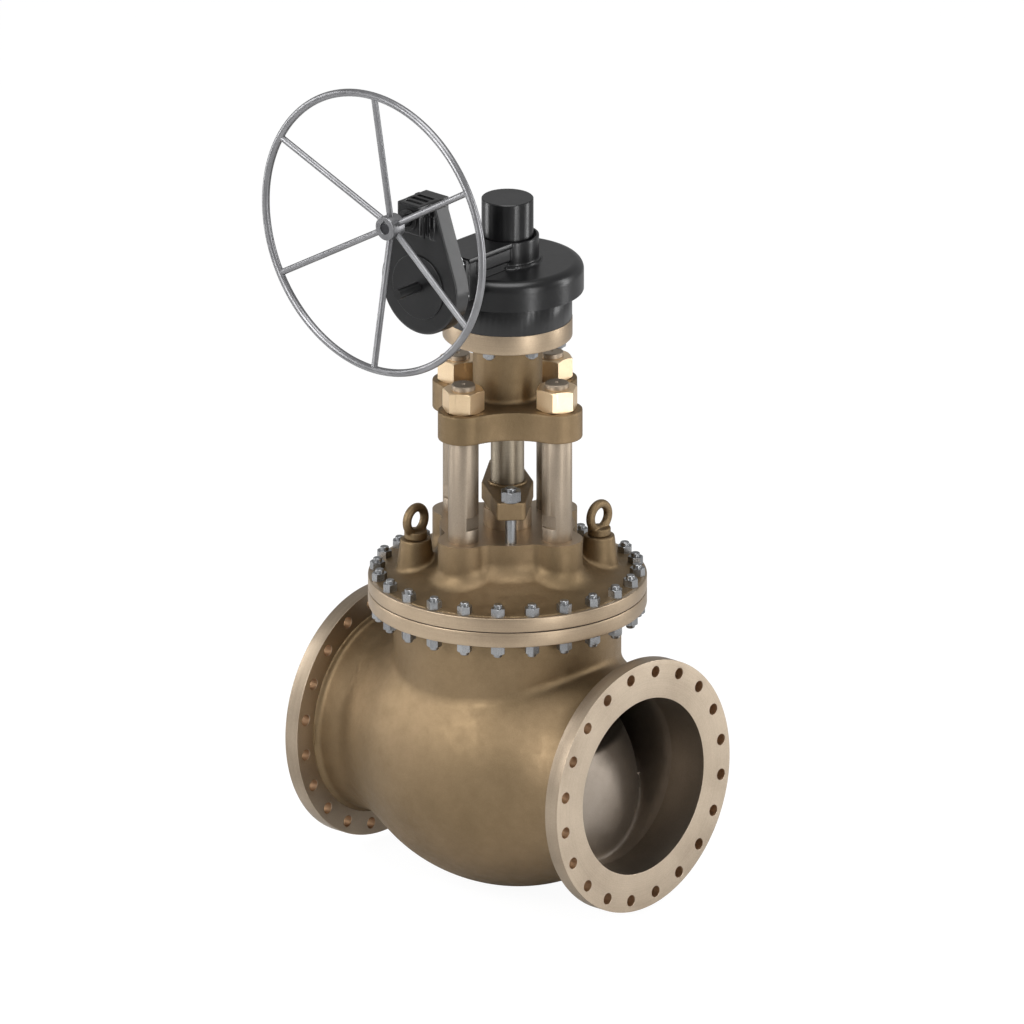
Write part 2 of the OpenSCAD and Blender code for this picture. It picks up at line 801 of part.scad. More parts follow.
module disc() {
    color("darkgoldenrod") at_stem() rotate_extrude() polygon([
        [0, disc_z - 20], [seat_bore_r - 14, disc_z - 20], [seat_bore_r - 8, disc_z], [disc_r - 4, disc_z],
        [disc_r, disc_z + 4], [disc_r, disc_z + disc_t - 10], [disc_r - 12, disc_z + disc_t],
        [disc_boss_r + 12, disc_z + disc_t + 4], [disc_boss_r, disc_z + disc_t + 16],
        [disc_boss_r, disc_top_z - 4],
        [disc_boss_r - 4, disc_top_z], [button_r + 0.4, disc_top_z], [button_r + 0.4, button_z - 0.3],
        [0, button_z - 0.3]
    ]);
}

// Threaded ring that holds the stem's button in the disc.
module disc_nut() {
    color("goldenrod") at_stem(button_z + button_t + 0.5)
        ring(button_r + 0.3, stem_r + 0.4, disc_top_z - button_z - button_t + 6);
}

// ---------- gears ----------

// Involute of an angle, in degrees.
function inv(a) = tan(a) * 180 / PI - a;

// Half the angle of a tooth at radius rho, for a gear of the given pitch radius and tooth number.
function tooth_half(rho, pitch_r, teeth, slack) =
    let (basic_r = pitch_r * cos(pressure))
    90 / teeth - slack / pitch_r * 90 / PI + inv(pressure) - inv(acos(min(basic_r / max(rho, basic_r), 1)));

// Outline of one tooth as [radius, angle] pairs from root to tip and back.
function tooth_outline(pitch_r, teeth, root, tip, slack) =
    let (low = max(root, pitch_r * cos(pressure)))
    let (rise = [for (i = [0 : flank_steps]) let (rho = low + (tip - low) * i / flank_steps)
        [rho, -tooth_half(rho, pitch_r, teeth, slack)]])
    let (half = concat(root < low - 0.2 ? [[root, rise[0][1]]] : [], rise))
    concat(half, [for (i = [len(half) - 1 : -1 : 0]) [half[i][0], -half[i][1]]]);

module spur_gear(teeth, width, turned, slack = 0.3) {
    pitch_r = spur_module * teeth / 2;
    tooth = tooth_outline(pitch_r, teeth, pitch_r - 1.2 * spur_module, pitch_r + 0.85 * spur_module, slack);
    linear_extrude(width) polygon([
        for (k = [0 : teeth - 1], p = tooth)
            p[0] * [cos(turned + p[1] + k * 360 / teeth), sin(turned + p[1] + k * 360 / teeth)]
    ]);
}

// Straight bevel gear whose cone apex is the origin and whose body lies towards +Z.
module bevel_gear(teeth, pitch_r, mate_r, turned, back_z, front_z, slack) {
    tilt = atan2(pitch_r, mate_r);
    virtual_r = pitch_r / cos(tilt);
    tooth = tooth_outline(virtual_r, teeth / cos(tilt), virtual_r - 1.1 * bevel_module,
        virtual_r + 0.72 * bevel_module, slack);
    rim = [
        for (k = [0 : teeth - 1], p = tooth)
            let (a = turned + k * 360 / teeth + p[1] / cos(tilt))
                [p[0] * cos(tilt) * cos(a), p[0] * cos(tilt) * sin(a), cone_len / cos(tilt) - p[0] * sin(tilt)]
    ];
    n = len(rim);
    polyhedron(
        points = concat(rim, rim * bevel_face, [[0, 0, back_z], [0, 0, front_z]]),
        faces = concat(
            [for (i = [0 : n - 1]) [i, (i + 1) % n, n + (i + 1) % n, n + i]],
            [for (i = [0 : n - 1]) [2 * n, (i + 1) % n, i]],
            [for (i = [0 : n - 1]) [2 * n + 1, n + i, n + (i + 1) % n]]
        )
    );
}

// ---------- drive sleeve ----------

module drive_sleeve() {
    color("silver") difference() {
        at_stem() rotate_extrude() polygon([
            [51, sleeve_z], [sleeve_r - 10, sleeve_z], [sleeve_r - 10, sleeve_z + 24.2],
            [92, sleeve_z + 24.2],
            [92, sleeve_z + 40], [sleeve_r, sleeve_z + 40], [sleeve_r, 1417.9], [sleeve_r - 6, 1417.9],
            [sleeve_r - 6, sleeve_top_z - 0.3], [51, sleeve_top_z - 0.3]
        ]);
        translate([stem_x - 8, sleeve_r - 7, sleeve_z + 40]) cube([16, 20, 46]);
    }
}

// Bronze nut that the stem's thread turns in.
module stem_nut() {
    color("goldenrod") at_stem(sleeve_z + 20) ring(51 - cap, stem_thread_r + 0.1, 150);
}

module crown_wheel() {
    back = sleeve_z + 40;
    color("gray") difference() {
        union() {
            translate([stem_x, 0, pinion_z]) rotate([180, 0, 0])
                bevel_gear(crown_teeth, crown_pitch_r, pinion_pitch_r, 90 + 90 / crown_teeth * 2,
                    62, 48, 0.5);
            at_stem(back) cylinder(r = 88, h = 50);
            at_stem(back + 30) cylinder(r = 124, h = 34);
        }
        at_stem(back - 1) cylinder(r = sleeve_r + cap, h = 200);
        translate([stem_x - 8.1, sleeve_r - 8, back - 1]) cube([16.2, 14, 80]);
    }
}

module crown_key() {
    color("dimgray") translate([stem_x - 7.9, sleeve_r - 7, sleeve_z + 40.1]) cube([15.8, 12.8, 45.8]);
}

// ---------- pinion shaft ----------

module pinion_shaft() {
    color("silver") difference() {
        facing_front(shaft_start_y, pinion_z) {
            cylinder(r = pinion_shaft_r, h = shaft_start_y - gear_front_y - 1);
            cylinder(r = stub_r, h = shaft_start_y - stub_end_y);
        }
        translate([stem_x - 6, gear_front_y, pinion_z + pinion_shaft_r - 5]) cube([12, gear_w, 20]);
    }
}

module bevel_pinion() {
    color("gray") difference() {
        union() {
            translate([stem_x, 0, pinion_z]) rotate([90, 0, 0])
                bevel_gear(bevel_teeth, pinion_pitch_r, crown_pitch_r, -90, 142, 98, 0.5);
            facing_front(-130, pinion_z) cylinder(r = 36, h = 31);
        }
        facing_front(shaft_start_y + 0.2, pinion_z) cylinder(r = pinion_shaft_r + cap, h = 60);
    }
}

module spur_wheel() {
    color("gray") facing_front(gear_front_y + gear_w, pinion_z) difference() {
        spur_gear(wheel_teeth, gear_w, 90);
        translate([0, 0, -1]) cylinder(r = pinion_shaft_r + cap, h = 60);
        translate([-6.1, 0, -1]) cube([12.2, pinion_shaft_r + 4, 60]);
        // Relief turned into both faces of the web.
        for (z = [-1, gear_w - 6]) translate([0, 0, z]) ring(88, 46, 7);
    }
}

module wheel_key() {
    color("dimgray") translate([stem_x - 5.9, gear_front_y + 0.1, pinion_z + pinion_shaft_r - 4.9])
        cube([11.8, gear_w - 0.2, 8.6]);
}

// ---------- idler and handwheel pinion ----------

module idler_gear() {
    color("gray") facing_front(gear_front_y + gear_w, idler_z) difference() {
        spur_gear(idler_teeth, gear_w, -90 + 180 / idler_teeth);
        translate([0, 0, -1]) cylinder(r = 16, h = 60);
    }
}

module idler_bush() {
    color("goldenrod") facing_front(gear_front_y + gear_w, idler_z) ring(16 - cap, 10 + slide_gap, gear_w);
}

module input_pinion() {
    color("gray") facing_front(gear_front_y + gear_w, input_z) difference() {
        spur_gear(input_teeth, gear_w, -90 + (idler_teeth % 2) * 180 / input_teeth);
        translate([0, 0, -1]) cylinder(r = input_shaft_r + cap, h = 60);
    }
}

module input_shaft() {
    color("silver") difference() {
        facing_front(-295, input_z) cylinder(r = input_shaft_r, h = 494 - 295);
        translate([stem_x - 5, hub_front_y, input_z + input_shaft_r - 4]) cube([10, 44, 20]);
    }
}

// ---------- handwheel ----------

module handwheel_hub() {
    color("darkgray") facing_front(hub_back_y, input_z) difference() {
        rotate_extrude() polygon([
            [0, 0], [hub_r - 2, 0], [hub_r, 2], [hub_r, hub_back_y - hub_front_y - 2],
            [hub_r - 2, hub_back_y - hub_front_y], [0, hub_back_y - hub_front_y]
        ]);
        translate([0, 0, -1]) cylinder(r = input_shaft_r + cap, h = 60);
        translate([-5.1, 0, -1]) cube([10.2, input_shaft_r + 4, 60]);
    }
}

module handwheel_key() {
    color("dimgray") translate([stem_x - 4.9, hub_front_y + 4, input_z + input_shaft_r - 3.9])
        cube([9.8, 39.9, 7.7]);
}

module handwheel_spokes() {
    start_y = -474;
    inner = hub_r - 4;
    reach = rim_r - inner;
    drop = start_y - rim_y;
    color("darkgray") facing_front(start_y, input_z) around(spokes, inner, 90)
        rotate([0, 90 - atan2(drop, reach), 0]) cylinder(d = spoke_d, h = norm([reach, drop]), $fn = 48);
}

module handwheel_rim() {
    color("darkgray") facing_front(rim_y, input_z) rotate_extrude($fn = 180)
        translate([rim_r, 0]) circle(d = rim_tube_d, $fn = 48);
}

body_casting();
body_neck();
seat_wall();
inlet_flange();
outlet_flange();
seat_ring();
bonnet_gasket();
bonnet();
bonnet_studs();
bonnet_nuts();
eye_bolt_front();
eye_bolt_back();
back_seat_bush();
packing_rings();
gland_bush();
gland_flange();
gland_studs();
gland_nuts();
pillar_front();
pillar_outlet();
pillar_back();
pillar_inlet();
pillar_nuts();
yoke_bridge();
stem_guide_bush();
gearbox_studs();
gearbox_stud_nuts();
gearbox_base();
gearbox_housing();
housing_screws();
thrust_bearings();
stem_cover();
spur_adapter();
spur_case();
spur_case_back();
case_screws();
bearing_cover();
shaft_bearings();
idler_pin();
shaft_seal();
stem();
stem_key();
disc();
disc_nut();
drive_sleeve();
stem_nut();
crown_wheel();
crown_key();
pinion_shaft();
bevel_pinion();
spur_wheel();
wheel_key();
idler_gear();
idler_bush();
input_shaft();
input_pinion();
handwheel_hub();
handwheel_spokes();
handwheel_rim();
handwheel_key();
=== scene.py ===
"""Looks for the flanged bronze globe valve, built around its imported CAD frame. Metres, +Z up."""
import math

import bmesh
import bpy
import numpy as np
from mathutils import Matrix, Vector


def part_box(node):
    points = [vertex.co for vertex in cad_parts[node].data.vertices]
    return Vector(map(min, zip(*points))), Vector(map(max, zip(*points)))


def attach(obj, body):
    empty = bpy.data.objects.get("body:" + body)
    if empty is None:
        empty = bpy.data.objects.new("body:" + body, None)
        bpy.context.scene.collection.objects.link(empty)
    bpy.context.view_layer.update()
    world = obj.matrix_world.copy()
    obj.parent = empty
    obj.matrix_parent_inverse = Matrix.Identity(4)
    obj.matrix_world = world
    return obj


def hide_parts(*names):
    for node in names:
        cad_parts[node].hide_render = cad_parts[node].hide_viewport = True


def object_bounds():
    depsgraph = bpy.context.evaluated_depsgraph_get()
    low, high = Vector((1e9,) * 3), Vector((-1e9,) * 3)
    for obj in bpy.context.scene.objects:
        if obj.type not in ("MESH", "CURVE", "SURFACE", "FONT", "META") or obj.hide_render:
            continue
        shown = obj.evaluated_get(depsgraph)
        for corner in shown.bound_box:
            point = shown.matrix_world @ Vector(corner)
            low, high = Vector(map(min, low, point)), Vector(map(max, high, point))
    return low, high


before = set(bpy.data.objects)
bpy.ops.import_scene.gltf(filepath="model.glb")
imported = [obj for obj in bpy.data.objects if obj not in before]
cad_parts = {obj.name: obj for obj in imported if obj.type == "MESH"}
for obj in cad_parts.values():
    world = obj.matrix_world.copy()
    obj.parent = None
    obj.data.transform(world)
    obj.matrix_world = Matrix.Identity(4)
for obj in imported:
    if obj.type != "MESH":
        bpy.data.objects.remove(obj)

cad_low, cad_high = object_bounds()


# ---------- places, read from the frame ----------

def low(name, axis):
    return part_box(name)[0][axis]


def high(name, axis):
    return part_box(name)[1][axis]


def middle(name, axis):
    return (low(name, axis) + high(name, axis)) / 2


X, Y, Z = 0, 1, 2
STEM_X = middle("stem_cover", X)
LENGTH = high("outlet_flange", X)
JOINT_R = high("bonnet", Y)
NUT_T = 0.024
LOWER_NUT_TOP = low("bonnet_nuts", Z) + NUT_T
JOINT_LOW = low("bonnet_gasket", Z)
JOINT_HIGH = high("bonnet_gasket", Z)
FLANGE_TOP = high("bonnet_nuts", Z) - NUT_T
PAD_Z = high("bonnet", Z)
BRIDGE_LOW = low("yoke_bridge", Z)
BRIDGE_TOP = low("pillar_nuts", Z)
YOKE_FLANGE_LOW = high("gearbox_stud_nuts", Z)
YOKE_FLANGE_TOP = high("yoke_bridge", Z)
YOKE_FLANGE_R = 0.175
PILLAR_PITCH = middle("pillar_outlet", X) - STEM_X
BELLY_R = high("body_casting", Y)
HOUSING_LOW = low("gearbox_housing", Z)
HOUSING_R = high("gearbox_housing", Y)
BOSS_TOP = high("gearbox_housing", Z)
DUCT_END = low("gearbox_housing", Y)
PINION_Z = middle("pinion_shaft", Z)
WHEEL_Z = middle("handwheel_rim", Z)
CASE_SPLIT = low("spur_case_back", Y)
CASE_TOP = high("spur_case", Z)
EYE_SHIFT = 0.247 * math.sqrt(0.5)
EYE_OUTER_R = 0.047
EYE_Z = high("eye_bolt_back", Z) - EYE_OUTER_R
EYE_FOOT_Z = 0.598

END_FLANGE_R = 0.34925
END_FLANGE_T = 0.0429
END_HOLES = 20
END_HOLE_R = 0.015875
END_HOLE_CIRCLE = 0.3175
PORT_R = 0.2445
PORT_DEPTH = 0.117
STUDS = 24
STUD_CIRCLE = 0.350
STUD_HOLE_R = 0.013

# ---------- small maths on distance fields ----------
# A field is a function of x, y, z that is negative inside the solid.


def round_union(a, b, r):
    """Two solids joined with a fillet of radius r."""
    return np.maximum(r, np.minimum(a, b)) - np.hypot(np.maximum(r - a, 0), np.maximum(r - b, 0))


def round_cut(a, b, r):
    """What two solids share, with its edge rounded to radius r."""
    return np.minimum(-r, np.maximum(a, b)) + np.hypot(np.maximum(r + a, 0), np.maximum(r + b, 0))


def slab(v, start, end):
    return np.maximum(start - v, v - end)


def box_field(x, y, z, centre, half):
    dx, dy, dz = (np.abs(v - c) - h for v, c, h in zip((x, y, z), centre, half))
    outside = np.sqrt(np.maximum(dx, 0) ** 2 + np.maximum(dy, 0) ** 2 + np.maximum(dz, 0) ** 2)
    return outside + np.minimum(np.maximum(np.maximum(dx, dy), dz), 0)


# ---------- mesh building ----------

SHARP_ANGLE = 35


def new_piece(name, verts, faces, materials, body, stands_for=(), sharp=SHARP_ANGLE):
    """A piece from plain lists, shaded smooth apart from edges sharper than the angle."""
    mesh = bpy.data.meshes.new(name)
    mesh.from_pydata([tuple(v) for v in verts], [], [tuple(f) for f in faces])
    mesh.validate()
    for m in materials:
        mesh.materials.append(m)
    close_seams(mesh)
    smooth(mesh, sharp)
    return enter(name, mesh, body, stands_for)


def close_seams(mesh):
    """Merges doubled vertices and turns every face outward."""
    bm = bmesh.new()
    bm.from_mesh(mesh)
    bmesh.ops.remove_doubles(bm, verts=bm.verts, dist=1e-6)
    bmesh.ops.recalc_face_normals(bm, faces=bm.faces)
    bm.to_mesh(mesh)
    bm.free()


def smooth(mesh, sharp=SHARP_ANGLE):
    mesh.shade_smooth()
    mesh.set_sharp_from_angle(angle=math.radians(sharp))


def linked(name, data):
    """A new object in the scene."""
    thing = bpy.data.objects.new(name, data)
    bpy.context.scene.collection.objects.link(thing)
    return thing


def enter(name, mesh, body, stands_for):
    """The piece of a finished mesh: rides on its body and stands for the CAD nodes named, which it hides."""
    piece = linked(name, mesh)
    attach(piece, body)
    if stands_for:
        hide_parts(*stands_for)
    return piece


def surface_mesh(field, lowest, highest, step):
    """Vertices and quads of a field's zero surface, by surface nets, then settled onto the surface."""
    lowest, highest = np.array(lowest, float), np.array(highest, float)
    count = np.ceil((highest - lowest) / step).astype(int) + 1
    axes = [lowest[k] + step * np.arange(count[k]) for k in range(3)]
    value = np.empty(count, np.float32)
    for start in range(0, count[0], 32):
        part = slice(start, start + 32)
        value[part] = field(axes[0][part, None, None], axes[1][None, :, None], axes[2][None, None, :])
    inside = value < 0
    corners = [(i, j, k) for i in (0, 1) for j in (0, 1) for k in (0, 1)]
    total = np.zeros(count - 1, np.int8)
    for c in corners:
        total += inside[tuple(slice(c[k], c[k] + count[k] - 1) for k in range(3))]
    cells = np.argwhere((total > 0) & (total < 8))
    index = np.full(count - 1, -1, np.int64)
    index[tuple(cells.T)] = np.arange(len(cells))
    at = {c: value[tuple((cells + c).T)] for c in corners}
    place, hits = np.zeros((len(cells), 3)), np.zeros(len(cells))
    for c in corners:
        for k in range(3):
            if c[k]:
                continue
            d = tuple(c[m] + (m == k) for m in range(3))
            crosses = (at[c] < 0) != (at[d] < 0)
            share = at[c] / np.where(crosses, at[c] - at[d], 1)
            p = np.array(c)[None, :] + share[:, None] * np.eye(3)[k][None, :]
            place[crosses] += p[crosses]
            hits += crosses
    points = lowest + step * (cells + place / hits[:, None])
    probe = step * 0.05
    for _ in range(4):
        here = field(*points.T)
        ahead, behind = ([field(*(points + side * e).T) for e in np.eye(3)] for side in (probe, -probe))
        slope = (np.stack(ahead, 1) - np.stack(behind, 1)) / (2 * probe)
        move = (here / np.maximum((slope**2).sum(1), 0.05))[:, None] * slope
        size = np.linalg.norm(move, axis=1, keepdims=True)
        points -= move * np.minimum(1, 0.4 * step / np.maximum(size, 1e-12))
    quads = []
    for k in range(3):
        u, v = (k + 1) % 3, (k + 2) % 3
        first = inside[tuple(slice(0, count[m] - (m == k)) for m in range(3))]
        second = inside[tuple(slice(int(m == k), count[m]) for m in range(3))]
        edges = np.argwhere(first != second)
        for m in (u, v):
            edges = edges[(edges[:, m] > 0) & (edges[:, m] < count[m] - 1)]
        flip = first[tuple(edges.T)]
        ring = []
        for du, dv in ((-1, -1), (0, -1), (0, 0), (-1, 0)):
            cell = edges.copy()
            cell[:, u] += du
            cell[:, v] += dv
            ring.append(index[tuple(cell.T)])
        ring = np.stack(ring, 1)
        quads.append(np.where(flip[:, None], ring, ring[:, ::-1]))
    return points, np.concatenate(quads)


def casting(name, field, lowest, highest, step, materials, stands_for, cuts=()):
    """A cast piece from a field. Each cut is (point, normal): a machined flat, given the second material."""
    verts, faces = surface_mesh(field, lowest, highest, step)
    mesh = bpy.data.meshes.new(name)
    mesh.vertices.add(len(verts))
    mesh.vertices.foreach_set("co", verts.ravel())
    mesh.loops.add(faces.size)
    mesh.loops.foreach_set("vertex_index", faces.ravel())
    mesh.polygons.add(len(faces))
    mesh.polygons.foreach_set("loop_start", np.arange(0, faces.size, 4))
    mesh.update(calc_edges=True)
    mesh.validate()
    for m in materials:
        mesh.materials.append(m)
    bm = bmesh.new()
    bm.from_mesh(mesh)
    for point, normal in cuts:
        found = bmesh.ops.bisect_plane(bm, geom=bm.verts[:] + bm.edges[:] + bm.faces[:], dist=step * 0.02,
                                       plane_co=point, plane_no=normal, clear_outer=True)
        edges = [g for g in found["geom_cut"] if isinstance(g, bmesh.types.BMEdge) and g.is_boundary]
        filled = bmesh.ops.triangle_fill(bm, edges=edges, use_beauty=False, use_dissolve=False, normal=normal)
        for f in filled["geom"]:
            if isinstance(f, bmesh.types.BMFace):
                f.material_index = 1
    bmesh.ops.recalc_face_normals(bm, faces=bm.faces)
    bm.to_mesh(mesh)
    bm.free()
    smooth(mesh)
    return enter(name, mesh, "frame", stands_for)


def rounded(outline):
    """A closed outline of (r, h, corner radius) with its corners rounded off."""
    steps = 3
    points = []
    for i, (r, h, radius) in enumerate(outline):
        here = np.array([r, h])
        if radius <= 0:
            points.append(here)
            continue
        before, after = (np.array(outline[k % len(outline)][:2]) - here for k in (i - 1, i + 1))
        a, b = (radius * v / np.linalg.norm(v) for v in (before, after))
        for s in range(steps + 1):
            t = s / steps
            points.append(here + a * (1 - t) ** 2 + b * t**2)
    return points


def turned(outline, segments):
    """Vertices and faces of an outline of (r, h) points turned about Z."""
    outline = np.array(outline)
    n = len(outline)
    angle = 2 * np.pi * np.arange(segments) / segments
    ring = np.stack([np.cos(angle), np.sin(angle)], 1)
    verts = np.concatenate([np.column_stack([ring * r, np.full(segments, h)]) for r, h in outline])
    faces = []
    for i in range(n):
        j = (i + 1) % n
        if outline[i][0] < 1e-9 and outline[j][0] < 1e-9:
            continue
        for s in range(segments):
            t = (s + 1) % segments
            faces.append([i * segments + s, i * segments + t, j * segments + t, j * segments + s])
    clean = []
    for f in faces:
        kept = []
        for v in f:
            on_axis = outline[v // segments][0] < 1e-9
            v = (v // segments) * segments if on_axis else v
            if v not in kept:
                kept.append(v)
        if len(kept) > 2:
            clean.append(kept)
    return verts, clean


def laid(verts, axis, origin):
    """Turns vertices made about Z so that their axis lies along the one named, from an origin."""
    turn = {
        "Z": Matrix.Identity(3),
        "X": Matrix.Rotation(math.pi / 2, 3, "Y"),
        "-X": Matrix.Rotation(-math.pi / 2, 3, "Y"),
        "-Y": Matrix.Rotation(math.pi / 2, 3, "X"),
    }[axis]
    return np.array(verts) @ np.array(turn).T + np.array(origin)


def joined(parts):
    """Several (verts, faces) pairs as one."""
    verts, faces, start = [], [], 0
    for v, f in parts:
        verts.extend(v)
        faces.extend([[i + start for i in face] for face in f])
        start += len(v)
    return verts, faces


def drilled(piece, cutters):
    """Cuts closed (verts, faces) cutters out of a piece."""
    verts, faces = joined(cutters)
    mesh = bpy.data.meshes.new("cutter")
    mesh.from_pydata([tuple(v) for v in verts], [], [tuple(f) for f in faces])
    close_seams(mesh)
    tool = linked("cutter", mesh)
    change = piece.modifiers.new("drill", "BOOLEAN")
    change.object, change.operation, change.solver = tool, "DIFFERENCE", "MANIFOLD"
    depsgraph = bpy.context.evaluated_depsgraph_get()
    result = bpy.data.meshes.new_from_object(piece.evaluated_get(depsgraph))
    old = piece.data
    piece.modifiers.clear()
    piece.data = result
    bpy.data.meshes.remove(old)
    bpy.data.objects.remove(tool)
    bpy.data.meshes.remove(mesh)
    smooth(piece.data)


def drill_shape(radius, depth, chamfer):
    """A drill about Z that also breaks the edges at height 0 and depth."""
    margin = 0.002
    wide = radius + chamfer + margin
    return turned([(0, -margin), (wide, -margin), (radius, chamfer), (radius, depth - chamfer),
                   (wide, depth + margin), (0, depth + margin)], 32)


def on_circle(count, radius):
    """Places evenly round a circle, none of them on a centre line."""
    for i in range(count):
        a = math.radians(180 / count + 360 * i / count)
        yield radius * math.cos(a), radius * math.sin(a)


# ---------- materials ----------


def base_material(name, colour, roughness, metallic=1.0):
    m = bpy.data.materials.new(name)
    m.use_nodes = True
    shader = m.node_tree.nodes["Principled BSDF"]
    shader.inputs["Base Color"].default_value = (*colour, 1)
    shader.inputs["Roughness"].default_value = roughness
    shader.inputs["Metallic"].default_value = metallic
    return m, m.node_tree, shader


def node(tree, kind, **values):
    n = tree.nodes.new(kind)
    for key, value in values.items():
        if key in n.inputs:
            n.inputs[key].default_value = value
        else:
            setattr(n, key, value)
    return n


def noise(tree, place, scale, detail, rough):
    n = node(tree, "ShaderNodeTexNoise", Scale=scale, Detail=detail, Roughness=rough)
    tree.links.new(place, n.inputs["Vector"])
    return n.outputs["Fac"]


def spread(tree, value, low_in, high_in, low_out=0, high_out=1):
    """A value taken from one range to another."""
    n = node(tree, "ShaderNodeMapRange")
    for key, v in zip(("From Min", "From Max", "To Min", "To Max"), (low_in, high_in, low_out, high_out)):
        n.inputs[key].default_value = v
    tree.links.new(value, n.inputs["Value"])
    return n.outputs["Result"]


def math_node(tree, operation, a, b=None):
    n = node(tree, "ShaderNodeMath", operation=operation)
    for i, v in enumerate((a, b)):
        if v is None:
            continue
        if isinstance(v, (int, float)):
            n.inputs[i].default_value = v
        else:
            tree.links.new(v, n.inputs[i])
    return n.outputs[0]


def weighted(tree, *pairs):
    """The sum of (value, share) pairs."""
    terms = [math_node(tree, "MULTIPLY", value, share) for value, share in pairs]
    total = terms[0]
    for term in terms[1:]:
        total = math_node(tree, "ADD", total, term)
    return total


def colour_by(tree, shader, tone, reach, dark, light):
    """Base colour from dark to light as the tone goes reach below 0.5 to reach above it."""
    mix = tree.nodes.new("ShaderNodeMix")
    mix.data_type = "RGBA"
    mix.inputs["A"].default_value = (*dark, 1)
    mix.inputs["B"].default_value = (*light, 1)
    tree.links.new(spread(tree, tone, 0.5 - reach, 0.5 + reach), mix.inputs["Factor"])
    tree.links.new(mix.outputs["Result"], shader.inputs["Base Color"])


def gloss_by(tree, shader, tone, roughness, less, more):
    """Roughness from less under its middle value to more over it."""
    gloss = spread(tree, tone, 0.3, 0.7, roughness - less, roughness + more)
    tree.links.new(gloss, shader.inputs["Roughness"])


def bump(tree, shader, height, distance, strength):
    n = node(tree, "ShaderNodeBump", Strength=strength, Distance=distance)
    tree.links.new(height, n.inputs["Height"])
    tree.links.new(n.outputs["Normal"], shader.inputs["Normal"])


def object_place(tree):
    return node(tree, "ShaderNodeTexCoord").outputs["Object"]


def srgb(*display):
    """A colour given as 0 to 255 display values, made linear."""
    shares = [v / 255 for v in display]
    return tuple(c / 12.92 if c <= 0.04045 else ((c + 0.055) / 1.055) ** 2.4 for c in shares)


def cast_metal(name, dark, light, roughness, grain=0.0006, metallic=1.0, patch=3.0):
    """Sand-cast metal: broad tone changes of a patch scale, fine grain of a given depth, uneven gloss."""
    m, tree, shader = base_material(name, light, roughness, metallic)
    place = object_place(tree)
    broad = noise(tree, place, patch, 5, 0.55)
    fine = noise(tree, place, 420, 3, 0.7)
    middling = noise(tree, place, 38, 4, 0.6)
    colour_by(tree, shader, weighted(tree, (broad, 0.7), (fine, 0.3)), 0.17, dark, light)
    gloss_by(tree, shader, middling, roughness, 0.06, 0.07)
    bump(tree, shader, weighted(tree, (fine, 1.0), (middling, 1.5)), grain, 0.8)
    return m


def ring_place(tree, place, axis):
    """A place whose first two values are the distance from an axis and the way along it."""
    across, across_centre, over, over_centre = axis
    part = node(tree, "ShaderNodeSeparateXYZ")
    tree.links.new(place, part.inputs[0])
    a = math_node(tree, "SUBTRACT", part.outputs[across], across_centre)
    b = math_node(tree, "SUBTRACT", part.outputs[over], over_centre)
    square = math_node(tree, "ADD", math_node(tree, "MULTIPLY", a, a), math_node(tree, "MULTIPLY", b, b))
    line = node(tree, "ShaderNodeCombineXYZ")
    tree.links.new(math_node(tree, "SQRT", square), line.inputs[0])
    tree.links.new(part.outputs[({"X", "Y", "Z"} - {across, over}).pop()], line.inputs[1])
    return line.outputs[0]


def turned_metal(name, dark, light, roughness, axis=None):
    """Machined metal. With an axis, fine rings run round it; without, the finish is plain milled."""
    m, tree, shader = base_material(name, light, roughness)
    place = object_place(tree)
    if axis is None:
        marks = noise(tree, place, 900, 2, 0.5)
    else:
        marks = noise(tree, ring_place(tree, place, axis), 700, 3, 0.6)
    broad = noise(tree, place, 6, 4, 0.5)
    speck = noise(tree, place, 260, 3, 0.7)
    colour_by(tree, shader, weighted(tree, (broad, 0.45), (marks, 0.3), (speck, 0.25)), 0.14, dark, light)
    gloss_by(tree, shader, marks, roughness, 0.06, 0.08)
    bump(tree, shader, marks, 0.00008, 0.7)
    return m


def painted(name, dark, light, roughness):
    """Satin paint over a casting."""
    m, tree, shader = base_material(name, light, roughness, 0.0)
    for key, value in (("Coat Weight", 0.08), ("Coat Roughness", 0.2), ("Specular IOR Level", 0.4)):
        shader.inputs[key].default_value = value
    place = object_place(tree)
    skin = noise(tree, place, 60, 2, 0.4)
    colour_by(tree, shader, noise(tree, place, 9, 5, 0.6), 0.15, dark, light)
    gloss_by(tree, shader, skin, roughness, 0.015, 0.02)
    bump(tree, shader, skin, 0.00001, 0.6)
    return m


# The two axes that work was turned about, as (coordinate, its centre, coordinate, its centre).
PIPE_AXIS = ("Y", 0.0, "Z", 0.0)
STEM_AXIS = ("X", STEM_X, "Y", 0.0)

CAST = cast_metal("cast_bronze", srgb(112, 95, 70), srgb(146, 125, 97), 0.52)
# Cored finish of the inside faces: greyer than the outside, and lighter as painted light for the light
# reaching the interior.
CORED_PAINTED_LIGHT = cast_metal("cored_bronze_painted_light", srgb(142, 132, 121), srgb(172, 161, 149), 0.50)
FACED_X = turned_metal("faced_bronze_flange", srgb(174, 158, 139), srgb(206, 190, 169), 0.40, PIPE_AXIS)
TURNED_Z = turned_metal("turned_bronze_upright", srgb(152, 135, 114), srgb(182, 163, 139), 0.42, STEM_AXIS)
PORT_METAL = turned_metal("bored_bronze_port", srgb(122, 112, 100), srgb(150, 139, 126), 0.42, PIPE_AXIS)
RIM_METAL = turned_metal("turned_bronze_rim", srgb(138, 124, 107), srgb(170, 155, 136), 0.42, PIPE_AXIS)
# Drilled hole walls, coloured a warm copper-brown as painted warm light inside the holes.
HOLE_WARM_LIGHT_METAL = turned_metal("drilled_bronze_hole_painted_warm_light", srgb(158, 128, 98), srgb(190, 158, 126), 0.60)
PILLAR = turned_metal("turned_bronze_pillar", srgb(142, 130, 115), srgb(172, 158, 141), 0.50)
NUT_BRONZE = turned_metal("bright_bronze_nut", srgb(228, 200, 160), srgb(246, 222, 188), 0.36)
